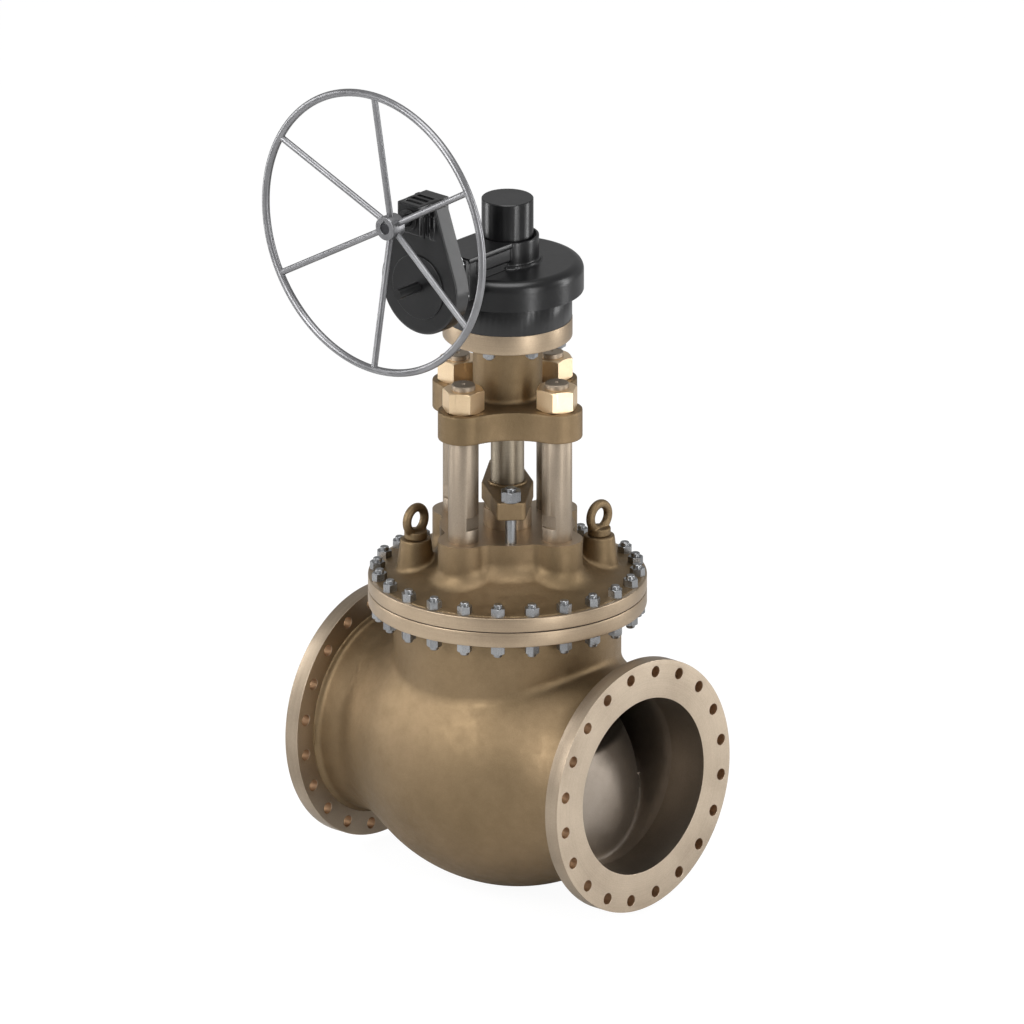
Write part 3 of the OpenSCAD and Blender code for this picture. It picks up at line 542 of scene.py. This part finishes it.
FASTENER = turned_metal("plated_fastener", srgb(116, 117, 119), srgb(160, 161, 162), 0.30)
STEM_STEEL = turned_metal("ground_stem", srgb(140, 130, 114), srgb(168, 156, 138), 0.42, STEM_AXIS)
GEARBOX = painted("gearbox_black", srgb(12, 12, 13), srgb(21, 21, 22), 0.30)
WHEEL = cast_metal("handwheel_grey", srgb(116, 116, 118), srgb(140, 140, 142), 0.36, 0.00003, 0.85, 9.0)
DARK_STEEL = turned_metal("dark_steel_shaft", srgb(52, 52, 54), srgb(74, 74, 76), 0.38)
SEAL = painted("seal_black", srgb(16, 16, 16), srgb(26, 26, 26), 0.6)

# Finishes of the CAD nodes. Those not named are plated fasteners, or lie inside.
PILLARS = ["pillar_" + side for side in ("front", "outlet", "back", "inlet")]
NODE_FINISHES = (
    (TURNED_Z, ["seat_ring", "gland_bush", "disc", "disc_nut"]),
    (SEAL, ["bonnet_gasket", "shaft_seal", "packing_rings"]),
    (PILLAR, PILLARS),
    (NUT_BRONZE, ["pillar_nuts"]),
    (STEM_STEEL, ["stem", "stem_key"]),
    (GEARBOX, ["gearbox_base", "stem_cover", "spur_adapter", "spur_case_back", "bearing_cover",
               "pinion_shaft"]),
    (WHEEL, ["handwheel_hub", "handwheel_spokes", "handwheel_rim"]),
    (DARK_STEEL, ["input_shaft"]),
)
finish_of = {name: finish for finish, names in NODE_FINISHES for name in names}
for name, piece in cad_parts.items():
    chosen = finish_of.get(name, FASTENER)
    if not piece.material_slots:
        piece.data.materials.append(chosen)
    for s in piece.material_slots:
        s.material = chosen

# Edges of the CAD nodes, broken by a small chamfer of this width.
EDGE_WIDTHS = {
    0.003: ["stem_cover", "spur_adapter", "spur_case_back"],
    0.002: ["gearbox_base"],
    0.0012: ["bearing_cover", "pillar_nuts"],
    0.001: PILLARS + ["handwheel_hub", "seat_ring", "disc", "pinion_shaft", "shaft_seal"],
    0.0008: ["gland_nuts", "input_shaft"],
    0.0006: ["bonnet_nuts", "gearbox_stud_nuts"],
    0.0005: ["gland_studs", "bonnet_studs", "case_screws", "gearbox_studs"],
}


def broken_edges(piece, width):
    weld = piece.modifiers.new("weld", "WELD")
    weld.merge_threshold = 0.00001
    edge = piece.modifiers.new("edge", "BEVEL")
    edge.width = width
    edge.segments = 2
    edge.limit_method = "ANGLE"
    edge.angle_limit = math.radians(28)
    edge.harden_normals = True


for width, names in EDGE_WIDTHS.items():
    for name in names:
        broken_edges(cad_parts[name], width)

# ---------- body casting ----------

OVERLAP = 0.008
BELLY_HALF = 0.456
NECK_PIPE_R = 0.272
SPOT_R = 0.282
SPOT_STEP = 0.0016
NECK_R = 0.306
NECK_BORE_R = 0.270
WALL = 0.028
SEAT_WALL = 0.025
BOWL_R = 0.325
BOWL_Z = -0.110
DECK_Z = low("seat_ring", Z) + SEAT_WALL
CORED_R = PORT_R + 0.005
SEAT_HOLE_R = 0.199
ROOF_START = 0.118
ROOF_END = STEM_X - 0.229
# Depth under the outside past which faces take the cored finish with its painted light.
CORED_PAINTED_LIGHT_DEPTH = 0.012


def barrel_field(u, r, tube_r, half, belly):
    """A pipe that swells smoothly into an ellipsoid round the stem axis."""
    ellipse = belly * np.sqrt(np.maximum(1 - (u / half) ** 2, 0))
    blend = 0.060
    radius = np.maximum(tube_r, ellipse) + np.maximum(blend - np.abs(tube_r - ellipse), 0) ** 2 / (4 * blend)
    level, ramp, steepest = 0.12, 0.2, 0.9
    slope = steepest * np.clip(np.abs(u) - level, 0, ramp) / ramp
    return (r - radius) / np.sqrt(1 + slope**2)


def passage_field(x, y, z, grow):
    """Inlet passage and the bowl under the seat, grown by a wall."""
    u = x - STEM_X
    under_deck = DECK_Z - SEAT_WALL
    ball = np.sqrt(u**2 + y**2 + (z - BOWL_Z) ** 2) - BOWL_R - grow
    bowl = round_cut(ball, z - under_deck - grow, r=0.008)
    fall = math.atan2(PORT_R - under_deck, ROOF_END - ROOF_START)
    roof = (x - ROOF_START) * math.sin(fall) + (z - PORT_R) * math.cos(fall) - grow
    tube = np.maximum(np.maximum(np.hypot(y, z) - CORED_R - grow, roof), x - STEM_X)
    return round_union(bowl, tube, r=0.020)


def body_outside(x, y, z):
    """The outside of the body casting, as if it were solid and ran on past its ends."""
    u = x - STEM_X
    r = np.hypot(y, z)
    from_end = LENGTH / 2 - np.abs(u)
    around_stem = np.hypot(u, y)
    outside = barrel_field(u, r, NECK_PIPE_R, BELLY_HALF, BELLY_R)
    # A thin step round the pipe behind each end flange.
    spot = np.maximum(r - SPOT_R, from_end - END_FLANGE_T - SPOT_STEP)
    outside = round_union(outside, spot, r=0.016)
    neck = np.maximum(around_stem - NECK_R, -z)
    under_flange = np.maximum(LOWER_NUT_TOP - z, around_stem - JOINT_R + 0.02)
    return round_union(round_union(outside, neck, r=0.011), under_flange, r=0.014)


def body_field(x, y, z):
    u = x - STEM_X
    r = np.hypot(y, z)
    from_end = LENGTH / 2 - np.abs(u)
    around_stem = np.hypot(u, y)
    core = barrel_field(u, r, CORED_R, BELLY_HALF - WALL, BELLY_R - WALL)
    core = round_union(core, np.maximum(around_stem - NECK_BORE_R, -z), r=0.020)
    upper = round_cut(core, -passage_field(x, y, z, SEAT_WALL), r=0.018)
    lower = round_cut(core, passage_field(x, y, z, 0), r=0.018)
    seat_hole = np.maximum(around_stem - SEAT_HOLE_R, np.abs(z - DECK_Z) - 0.08)
    hollow = np.minimum(np.minimum(upper, lower), seat_hole)
    ends = 0.025 - from_end
    d = np.maximum(np.maximum(body_outside(x, y, z), -hollow), ends)
    return np.maximum(d, z - LOWER_NUT_TOP - OVERLAP)


body = casting("body_shell", body_field, (0.01, -0.39, -0.39), (LENGTH - 0.01, 0.39, LOWER_NUT_TOP + 0.02),
               0.006, [CAST, CORED_PAINTED_LIGHT], ["body_casting", "body_neck", "seat_wall"])


def cored_painted_light_faces(piece):
    """Gives the faces well inside the casting the cored finish, greyer than the outside and also lighter as
    painted light standing in for light that reaches the interior.
    """
    centre = np.empty(len(piece.data.polygons) * 3)
    piece.data.polygons.foreach_get("center", centre)
    inside = body_outside(*centre.reshape(-1, 3).T) < -CORED_PAINTED_LIGHT_DEPTH
    piece.data.polygons.foreach_set("material_index", inside.astype(np.int32))


cored_painted_light_faces(body)


def holed(piece, count, circle, radius, depth, axis, origin, chamfer=0.0012):
    """Drills a circle of holes into a piece along an axis from an origin."""
    verts, faces = drill_shape(radius, depth, chamfer)
    places = [np.array([a, b, 0]) for a, b in on_circle(count, circle)]
    drilled(piece, [(laid(verts + place, axis, origin), faces) for place in places])


def end_flange(name, axis, x, stands_for):
    """Pipe flange with its machined bore and twenty holes."""
    sleeve_r = PORT_R + 0.012
    outline = rounded([(PORT_R, 0, 0.001), (END_FLANGE_R, 0, 0.0012), (END_FLANGE_R, END_FLANGE_T, 0.0012),
                       (sleeve_r, END_FLANGE_T, 0), (sleeve_r, PORT_DEPTH - 0.002, 0),
                       (PORT_R, PORT_DEPTH, 0)])
    verts, faces = turned(outline, 180)
    origin = (x, 0, 0)
    materials = [FACED_X, PORT_METAL, RIM_METAL, HOLE_WARM_LIGHT_METAL]
    piece = new_piece(name, laid(verts, axis, origin), faces, materials, "frame", [stands_for])
    holed(piece, END_HOLES, END_HOLE_CIRCLE, END_HOLE_R, END_FLANGE_T, axis, origin, chamfer=0.0005)
    # Faces across the bore, rim and holes take their finishes; the hole walls' warm copper-brown is painted
    # warm light.
    for face in piece.data.polygons:
        r = math.hypot(face.center.y, face.center.z)
        if abs(face.normal.x) < 0.5:
            in_port, on_rim = r < PORT_R + 0.004, r > END_FLANGE_R - 0.003
            finish = PORT_METAL if in_port else RIM_METAL if on_rim else HOLE_WARM_LIGHT_METAL
            face.material_index = materials.index(finish)


end_flange("inlet_flange_ring", "X", 0.0, "inlet_flange")
end_flange("outlet_flange_ring", "-X", LENGTH, "outlet_flange")


def upright_ring(name, inner, outer, z_low, z_high, rounds, segments):
    """A machined ring about the stem axis; rounds are its corner radii from the low inner corner on round."""
    corners = ((inner, z_low), (outer, z_low), (outer, z_high), (inner, z_high))
    verts, faces = turned(rounded([(*corner, r) for corner, r in zip(corners, rounds)]), segments)
    return new_piece(name, laid(verts, "Z", (STEM_X, 0, 0)), faces, [TURNED_Z], "frame")


def joint_flange(name, inner, z_low, z_high):
    """Machined ring with the stud holes of the bonnet joint."""
    piece = upright_ring(name, inner, JOINT_R, z_low, z_high, (0.001, 0.003, 0.003, 0.001), 180)
    holed(piece, STUDS, STUD_CIRCLE, STUD_HOLE_R, z_high - z_low, "Z", (STEM_X, 0, z_low))


joint_flange("body_joint_ring", NECK_BORE_R, LOWER_NUT_TOP, JOINT_LOW)
joint_flange("bonnet_joint_ring", NECK_BORE_R - 0.03, JOINT_HIGH, FLANGE_TOP)

# ---------- bonnet ----------

PEDESTAL_R = 0.182
PAD_R = 0.069
DOME_R = 0.320
DOME_SLOPE = 0.40
BONNET_BORE_R = 0.065
EYE_PAD_R = 0.053
EYE_PAD_Z = 0.501
EYE_PAD_TAPER = 0.124


def bonnet_field(x, y, z):
    u = x - STEM_X
    rho = np.hypot(u, y)
    dome = (z - FLANGE_TOP - (DOME_R - rho) * DOME_SLOPE) / math.hypot(1, DOME_SLOPE)
    dome = round_union(dome, z - FLANGE_TOP + 0.0005, r=0.030)
    pads = np.minimum(np.hypot(np.abs(u) - PILLAR_PITCH, y), np.hypot(u, np.abs(y) - PILLAR_PITCH)) - PAD_R
    pedestal = round_union(rho - PEDESTAL_R, pads, r=0.018)
    d = round_union(dome, pedestal, r=0.032)
    eye = np.minimum(np.hypot(u - EYE_SHIFT, y - EYE_SHIFT), np.hypot(u + EYE_SHIFT, y + EYE_SHIFT))
    cone = (eye - EYE_PAD_R + (z - EYE_PAD_Z) * EYE_PAD_TAPER) / math.hypot(1, EYE_PAD_TAPER)
    cone = round_cut(cone, z - EYE_FOOT_Z, r=0.004)
    d = round_union(d, cone, r=0.012)
    d = np.maximum(d, rho - JOINT_R + 0.012)
    d = np.maximum(d, BONNET_BORE_R - rho)
    return np.maximum(d, FLANGE_TOP - 0.012 - z)


casting("bonnet_shell", bonnet_field, (STEM_X - 0.38, -0.38, FLANGE_TOP - 0.02),
        (STEM_X + 0.38, 0.38, PAD_Z + 0.02), 0.0045, [CAST, TURNED_Z], ["bonnet"],
        [((0, 0, PAD_Z), (0, 0, 1))])

# ---------- yoke ----------

LOBE_R = 0.069
WAIST = 0.160
YOKE_TUBE_R = 0.0934
YOKE_BORE_R = 0.060
YOKE_STUDS = 8
YOKE_STUD_CIRCLE = 0.149
YOKE_STUD_HOLE_R = 0.011


def bridge_plan(u, y):
    """Four lobes joined by hollow waists, as a flat field."""
    dip = WAIST - LOBE_R
    centre = (PILLAR_PITCH**2 - dip**2) / (math.sqrt(2) * PILLAR_PITCH - 2 * dip)
    hollow = centre - WAIST
    half = centre * math.sqrt(0.5)
    turn = math.atan2(half, half - PILLAR_PITCH)
    reach = PILLAR_PITCH + LOBE_R * (math.cos(turn) + math.sin(turn))
    a, b = np.abs(u), np.abs(y)
    lobes = np.minimum(np.hypot(a - PILLAR_PITCH, b), np.hypot(a, b - PILLAR_PITCH)) - LOBE_R
    sides = [math.sin(turn) * (p - PILLAR_PITCH) - math.cos(turn) * q for p, q in ((a, b), (b, a))]
    web = np.maximum((a + b - reach) * math.sqrt(0.5), hollow - np.hypot(a - half, b - half))
    web = np.maximum(web, np.maximum(*sides))
    return np.minimum(lobes, web)


def bridge_field(x, y, z):
    u = x - STEM_X
    rho = np.hypot(u, y)
    plate = round_cut(bridge_plan(u, y), slab(z, BRIDGE_LOW, BRIDGE_TOP), r=0.004)
    tube = np.maximum(rho - YOKE_TUBE_R, BRIDGE_LOW + 0.02 - z)
    d = round_union(plate, tube, r=0.012)
    under = np.maximum(YOKE_FLANGE_LOW - z, rho - YOKE_FLANGE_R + 0.02)
    d = round_union(d, under, r=0.010)
    d = np.maximum(d, YOKE_BORE_R - rho)
    return np.maximum(d, z - YOKE_FLANGE_LOW - 0.01)


casting("bridge_shell", bridge_field, (STEM_X - 0.26, -0.26, BRIDGE_LOW - 0.01),
        (STEM_X + 0.26, 0.26, YOKE_FLANGE_LOW + 0.02), 0.004, [CAST, TURNED_Z], ["yoke_bridge"])


def yoke_flange():
    piece = upright_ring("yoke_flange_ring", YOKE_BORE_R + OVERLAP, YOKE_FLANGE_R, YOKE_FLANGE_LOW,
                         YOKE_FLANGE_TOP, (0.001, 0.003, 0.002, 0.001), 160)
    holed(piece, YOKE_STUDS, YOKE_STUD_CIRCLE, YOKE_STUD_HOLE_R, YOKE_FLANGE_TOP - YOKE_FLANGE_LOW, "Z",
          (STEM_X, 0, YOKE_FLANGE_LOW))


yoke_flange()

# ---------- gland flange ----------

GLAND_LOW = low("gland_flange", Z)
GLAND_HIGH = high("gland_flange", Z)
GLAND_T = 0.050
GLAND_HALF_LENGTH = 0.181
GLAND_TIP_HALF_W = 0.0375
GLAND_HALF_W = 0.070
GLAND_COLLAR_R = 0.052
GLAND_BORE_R = 0.0455
GLAND_STUD_PITCH = 0.157
GLAND_HOLE_R = 0.016
GLAND_TURN = 135


def gland_field(x, y, z):
    """Gland flange, with its long way along local x."""
    a, b = np.abs(x), np.abs(y)
    slant = math.atan2(GLAND_HALF_W - GLAND_TIP_HALF_W, GLAND_HALF_LENGTH)
    sides = (b - GLAND_HALF_W) * math.cos(slant) + a * math.sin(slant)
    plan = round_cut(a - GLAND_HALF_LENGTH, sides, r=0.010)
    plate = round_cut(plan, slab(z, GLAND_LOW, GLAND_LOW + GLAND_T), r=0.004)
    rho = np.hypot(x, y)
    collar = round_cut(rho - GLAND_COLLAR_R, z - GLAND_HIGH, r=0.002)
    d = round_union(plate, np.maximum(collar, GLAND_LOW - z), r=0.003)
    d = np.maximum(d, GLAND_BORE_R - rho)
    return np.maximum(d, GLAND_HOLE_R - np.hypot(a - GLAND_STUD_PITCH, y))


def gland_flange():
    verts, faces = surface_mesh(gland_field, (-0.19, -0.08, GLAND_LOW - 0.008),
                                (0.19, 0.08, GLAND_HIGH + 0.008), 0.0024)
    turn = np.array(Matrix.Rotation(math.radians(GLAND_TURN), 3, "Z"))
    new_piece("gland_flange_shell", verts @ turn.T + np.array([STEM_X, 0, 0]), faces, [CAST], "frame",
              ["gland_flange"])


gland_flange()

# ---------- lifting eyes ----------

EYE_ROD_R = 0.012
EYE_COLLAR_R = 0.031
EYE_COLLAR_T = 0.021
EYE_SHANK_R = 0.0115


def eye_bolt_field(x, y, z):
    """Lifting eye about its own centre, its ring standing across the pipe."""
    rho = np.hypot(x, y)
    foot = EYE_FOOT_Z - EYE_Z
    ring = np.hypot(np.hypot(y, z) - (EYE_OUTER_R - EYE_ROD_R), x) - EYE_ROD_R
    collar = round_cut(rho - EYE_COLLAR_R, slab(z, foot, foot + EYE_COLLAR_T), r=0.003)
    shank = np.maximum(rho - EYE_SHANK_R, slab(z, foot - 0.008, foot + 0.004))
    return np.minimum(round_union(collar, ring, r=0.003), shank)


def eye_bolt(name, sign, stands_for):
    verts, faces = surface_mesh(eye_bolt_field, (-0.036, -0.05, -0.066), (0.036, 0.05, 0.05), 0.0016)
    place = np.array([STEM_X + sign * EYE_SHIFT, sign * EYE_SHIFT, EYE_Z])
    new_piece(name, verts + place, faces, [CAST], "frame", [stands_for], sharp=50)


eye_bolt("eye_bolt_front_shell", -1, "eye_bolt_front")
eye_bolt("eye_bolt_back_shell", 1, "eye_bolt_back")

# ---------- gearbox ----------

HOUSING_TOP = 1.390
BOSS_R = 0.085
BOSS_STEP_W = 0.006
BOSS_STEP_H = 0.008
BOSS_BORE_R = 0.078
CAVITY_R = 0.190
CAVITY_H = 0.072
SHAFT_BORE_R = 0.045
SHAFT_BORE_BACK = -0.060
DUCT_BACK = -0.050
DUCT_HALF_W = 0.058
DUCT_LOW = 1.344
LEDGE_HALF_W = 0.063
LEDGE_LOW = 1.412
LID_HALF_W = 0.066
LID_LOW = 1.452
LID_TOP = 1.462
END_PLATE_HALF_T = 0.015


def housing_field(x, y, z):
    u = x - STEM_X
    rho = np.hypot(u, y)
    drum = round_cut(rho - HOUSING_R, z - HOUSING_TOP, r=0.028)
    step = round_cut(rho - BOSS_R - BOSS_STEP_W, z - HOUSING_TOP - BOSS_STEP_H, r=0.002)
    boss = round_cut(rho - BOSS_R, z - BOSS_TOP, r=0.003)
    d = round_union(round_union(drum, step, r=0.004), boss, r=0.002)
    mid_y, half_y = (DUCT_END + DUCT_BACK) / 2, (DUCT_BACK - DUCT_END) / 2
    duct = (DUCT_HALF_W, DUCT_LOW, LID_LOW, 0.004)
    ledge = (LEDGE_HALF_W, LEDGE_LOW, LID_LOW, 0.004)
    lid = (LID_HALF_W, LID_LOW, LID_TOP, 0.002)
    for half_w, z0, z1, r in (duct, ledge, lid):
        half = (half_w - r, half_y, (z1 - z0) / 2 + 0.001 - r)
        part = box_field(u, y, z, (0, mid_y, (z0 + z1) / 2), half) - r
        d = round_union(d, np.maximum(part, DUCT_END - y), r=0.002)
    end_plate = box_field(u, y, z, (0, DUCT_END + END_PLATE_HALF_T, (DUCT_LOW + LID_LOW) / 2),
                          (LID_HALF_W - 0.002, END_PLATE_HALF_T, (LID_LOW - DUCT_LOW) / 2)) - 0.001
    d = np.minimum(d, np.maximum(end_plate, DUCT_END - y))
    hollow = np.maximum(rho - CAVITY_R, z - HOUSING_LOW - CAVITY_H)
    hollow = np.minimum(hollow, np.maximum(rho - BOSS_BORE_R, HOUSING_LOW - z))
    shaft = np.hypot(u, z - PINION_Z)
    hollow = np.minimum(hollow, np.maximum(shaft - SHAFT_BORE_R, y - SHAFT_BORE_BACK))
    return np.maximum(np.maximum(d, -hollow), HOUSING_LOW - 0.01 - z)


casting("housing_shell", housing_field, (STEM_X - 0.22, DUCT_END - 0.02, HOUSING_LOW - 0.02),
        (STEM_X + 0.22, 0.22, BOSS_TOP + 0.01), 0.003, [GEARBOX, GEARBOX], ["gearbox_housing"],
        [((0, 0, HOUSING_LOW), (0, 0, -1)), ((0, DUCT_END, 0), (0, -1, 0))])

# ---------- spur case ----------

CASE_FRONT = -0.360
CASE_BIG_R = 0.134
CASE_CORNER_R = 0.020
CASE_CORNER_X = 0.039
CASE_WALL = 0.008
CASE_FRONT_WALL = 0.009
BLOCK_HALF_W = 0.040
BLOCK_FRONT = -0.401
BLOCK_BACK = -0.320
BLOCK_LOW = 1.568
SIDE_RIBS_Y = (-0.389, -0.373)
SIDE_RIB_T = 0.007
SIDE_RIB_STANDS_OUT = 0.005
FOOT_RIBS_X = (0.045, 0.056)
FOOT_RIB_HALF_T = 0.003
FOOT_RIB_LOW = 1.552
FOOT_RIB_HIGH = 1.616
FOOT_RIB_BACK = -0.340
FOOT_RIB_LEAN = 0.10
POCKETS_Y = (-0.384, -0.360, -0.336)
POCKET_HALF_W = 0.028
POCKET_LENGTH = 0.014
POCKET_DEPTH = 0.004
PINION_BEARING_R = 0.046
PINION_BEARING_FRONT = -0.375
INPUT_BEARING_R = 0.026
INPUT_BEARING_FRONT = -0.395
INPUT_SHAFT_HOLE_R = 0.0174


def pear(u, w):
    """Outline of the case about the pinion axis, as a flat field."""
    up = CASE_TOP - PINION_Z - CASE_CORNER_R
    reach = math.hypot(CASE_CORNER_X, up)
    side = math.atan2(up, CASE_CORNER_X) - math.acos((CASE_BIG_R - CASE_CORNER_R) / reach)
    flank = np.abs(u) * math.cos(side) + w * math.sin(side) - CASE_BIG_R
    top = round_cut(flank, w - (CASE_TOP - PINION_Z), CASE_CORNER_R)
    upper = np.maximum(top, CASE_BIG_R * math.sin(side) - w)
    return np.minimum(np.hypot(u, w) - CASE_BIG_R, upper)


def solid_box(x, y, z, low_corner, high_corner, r):
    """A box between two corners with its edges rounded to radius r."""
    pairs = list(zip(low_corner, high_corner))
    return box_field(x, y, z, [(a + b) / 2 for a, b in pairs], [(b - a) / 2 - r for a, b in pairs]) - r


def case_outside(u, y, z):
    """The spur case as a solid: pear, input block, ribs on the block's sides and below it, pockets on top."""
    a = np.abs(u)
    d = round_cut(pear(u, z - PINION_Z), CASE_FRONT - y, r=0.006)
    block = solid_box(u, y, z, (-BLOCK_HALF_W, BLOCK_FRONT, BLOCK_LOW), (BLOCK_HALF_W, BLOCK_BACK, CASE_TOP),
                      r=0.0035)
    d = round_union(d, block, r=0.004)
    for start in SIDE_RIBS_Y:
        rib = solid_box(a, y, z, (0.03, start, BLOCK_LOW - 0.010),
                        (BLOCK_HALF_W + SIDE_RIB_STANDS_OUT, start + SIDE_RIB_T, BLOCK_LOW + 0.052), r=0.0015)
        d = round_union(d, rib, r=0.002)
    foot = CASE_FRONT - 0.005
    for side in FOOT_RIBS_X:
        rib = solid_box(a, y, z, (side - FOOT_RIB_HALF_T, foot, FOOT_RIB_LOW),
                        (side + FOOT_RIB_HALF_T, FOOT_RIB_BACK, FOOT_RIB_HIGH), r=0.0015)
        lean = y - foot + (z - 1.590) * FOOT_RIB_LEAN
        d = round_union(d, np.maximum(rib, -lean), r=0.003)
    for start in POCKETS_Y:
        pocket = solid_box(u, y, z, (-POCKET_HALF_W, start, CASE_TOP - POCKET_DEPTH),
                           (POCKET_HALF_W, start + POCKET_LENGTH, CASE_TOP + 0.02), r=0.001)
        d = round_cut(d, -pocket, r=0.0015)
    return d


def case_field(x, y, z):
    u, w, v = x - STEM_X, z - PINION_Z, z - WHEEL_Z
    hollow = np.maximum(pear(u, w) + CASE_WALL, CASE_FRONT + CASE_FRONT_WALL - y)
    hollow = np.minimum(hollow, np.maximum(np.hypot(u, w) - PINION_BEARING_R, PINION_BEARING_FRONT - y))
    hollow = np.minimum(hollow, np.maximum(np.hypot(u, v) - INPUT_BEARING_R, INPUT_BEARING_FRONT - y))
    hollow = np.minimum(hollow, np.hypot(u, v) - INPUT_SHAFT_HOLE_R)
    return np.maximum(np.maximum(case_outside(u, y, z), -hollow), y - CASE_SPLIT - 0.01)


casting("case_shell", case_field, (STEM_X - 0.145, BLOCK_FRONT - 0.008, PINION_Z - 0.145),
        (STEM_X + 0.145, CASE_SPLIT + 0.02, CASE_TOP + 0.01), 0.0024, [GEARBOX, GEARBOX], ["spur_case"],
        [((0, CASE_SPLIT, 0), (0, 1, 0))])

# ---------- handwheel ----------

RIM_TUBE_R = 0.0105
RIM_R = high("handwheel_rim", X) - STEM_X - RIM_TUBE_R
RIM_Y = middle("handwheel_rim", Y)


def handwheel_rim():
    a = 2 * np.pi * np.arange(24) / 24
    outline = np.column_stack([RIM_R + RIM_TUBE_R * np.cos(a), RIM_TUBE_R * np.sin(a)])
    verts, faces = turned(outline, 240)
    new_piece("rim_tube", laid(verts, "-Y", (STEM_X, RIM_Y, WHEEL_Z)), faces, [WHEEL], "handwheel",
              ["handwheel_rim"])


handwheel_rim()

# ---------- stage ----------

FLOOR_HALF = 80
FLOOR_GAP = 0.001


def stage():
    """A matt white floor that also glows to the camera, so that it stays plain white in the picture."""
    s, z = FLOOR_HALF, cad_low[2] - FLOOR_GAP
    mesh = bpy.data.meshes.new("floor")
    mesh.from_pydata([(-s, -s, z), (s, -s, z), (s, s, z), (-s, s, z)], [], [(0, 1, 2, 3)])
    m, tree, shader = base_material("floor_white", (0.8, 0.8, 0.8), 0.9, 0.0)
    shader.inputs["Specular IOR Level"].default_value = 0.0
    glow = node(tree, "ShaderNodeEmission", Strength=1.1)
    mix = node(tree, "ShaderNodeMixShader")
    seen = math_node(tree, "MULTIPLY", node(tree, "ShaderNodeLightPath").outputs["Is Camera Ray"], 0.86)
    tree.links.new(seen, mix.inputs[0])
    tree.links.new(shader.outputs[0], mix.inputs[1])
    tree.links.new(glow.outputs[0], mix.inputs[2])
    tree.links.new(mix.outputs[0], tree.nodes["Material Output"].inputs["Surface"])
    mesh.materials.append(m)
    linked("floor", mesh)


stage()

CAMERA_AZIMUTH = 41.69
CAMERA_ELEVATION = 19.68
CAMERA_DISTANCE = 9
VIEW_SPAN = 2.7515
VIEW_CENTRE_Z = 0.6663
VIEW_SHIFT_RIGHT = 0.0121
LIGHT_AIM = (STEM_X, 0, 0.8)


def aimed(name, data, place, direction):
    """A light or camera at a place, looking along a direction."""
    thing = linked(name, data)
    thing.location = place
    thing.rotation_mode = "QUATERNION"
    thing.rotation_quaternion = direction.to_track_quat("-Z", "Y")
    return thing


def softbox(name, turn, distance, height, size, power):
    """A soft light, turned so many degrees to the right of the camera."""
    data = bpy.data.lights.new(name, "AREA")
    data.shape = "RECTANGLE"
    data.size, data.size_y = size
    data.energy = power
    a = math.radians(CAMERA_AZIMUTH + turn)
    place = Vector((STEM_X + distance * math.sin(a), -distance * math.cos(a), height))
    aimed(name, data, place, Vector(LIGHT_AIM) - place)


softbox("strip_right", 36, 4.0, 1.4, (0.55, 3.4), 60)
softbox("strip_far_right", 94, 3.8, 1.6, (0.7, 3.2), 60)
softbox("key_left", -52, 4.4, 2.6, (1.8, 2.6), 130)
softbox("strip_far_left", -104, 3.8, 1.6, (0.7, 3.2), 55)
softbox("top", 0, 0.9, 4.8, (2.4, 2.4), 90)


def surroundings():
    world = bpy.data.worlds.new("studio")
    bpy.context.scene.world = world
    world.use_nodes = True
    background = world.node_tree.nodes["Background"]
    background.inputs["Color"].default_value = (1, 1, 1, 1)
    background.inputs["Strength"].default_value = 0.42
    bpy.context.scene.view_settings.view_transform = "Standard"


surroundings()


def camera():
    """A parallel view at the photograph's angle."""
    azimuth, elevation = math.radians(CAMERA_AZIMUTH), math.radians(CAMERA_ELEVATION)
    back = Vector((math.sin(azimuth) * math.cos(elevation), -math.cos(azimuth) * math.cos(elevation),
                   math.sin(elevation)))
    right = Vector((math.cos(azimuth), math.sin(azimuth), 0))
    data = bpy.data.cameras.new("camera")
    data.type = "ORTHO"
    data.ortho_scale = VIEW_SPAN
    data.clip_end = 100
    place = Vector((STEM_X, 0, VIEW_CENTRE_Z)) + right * VIEW_SHIFT_RIGHT + back * CAMERA_DISTANCE
    bpy.context.scene.camera = aimed("camera", data, place, -back)


camera()
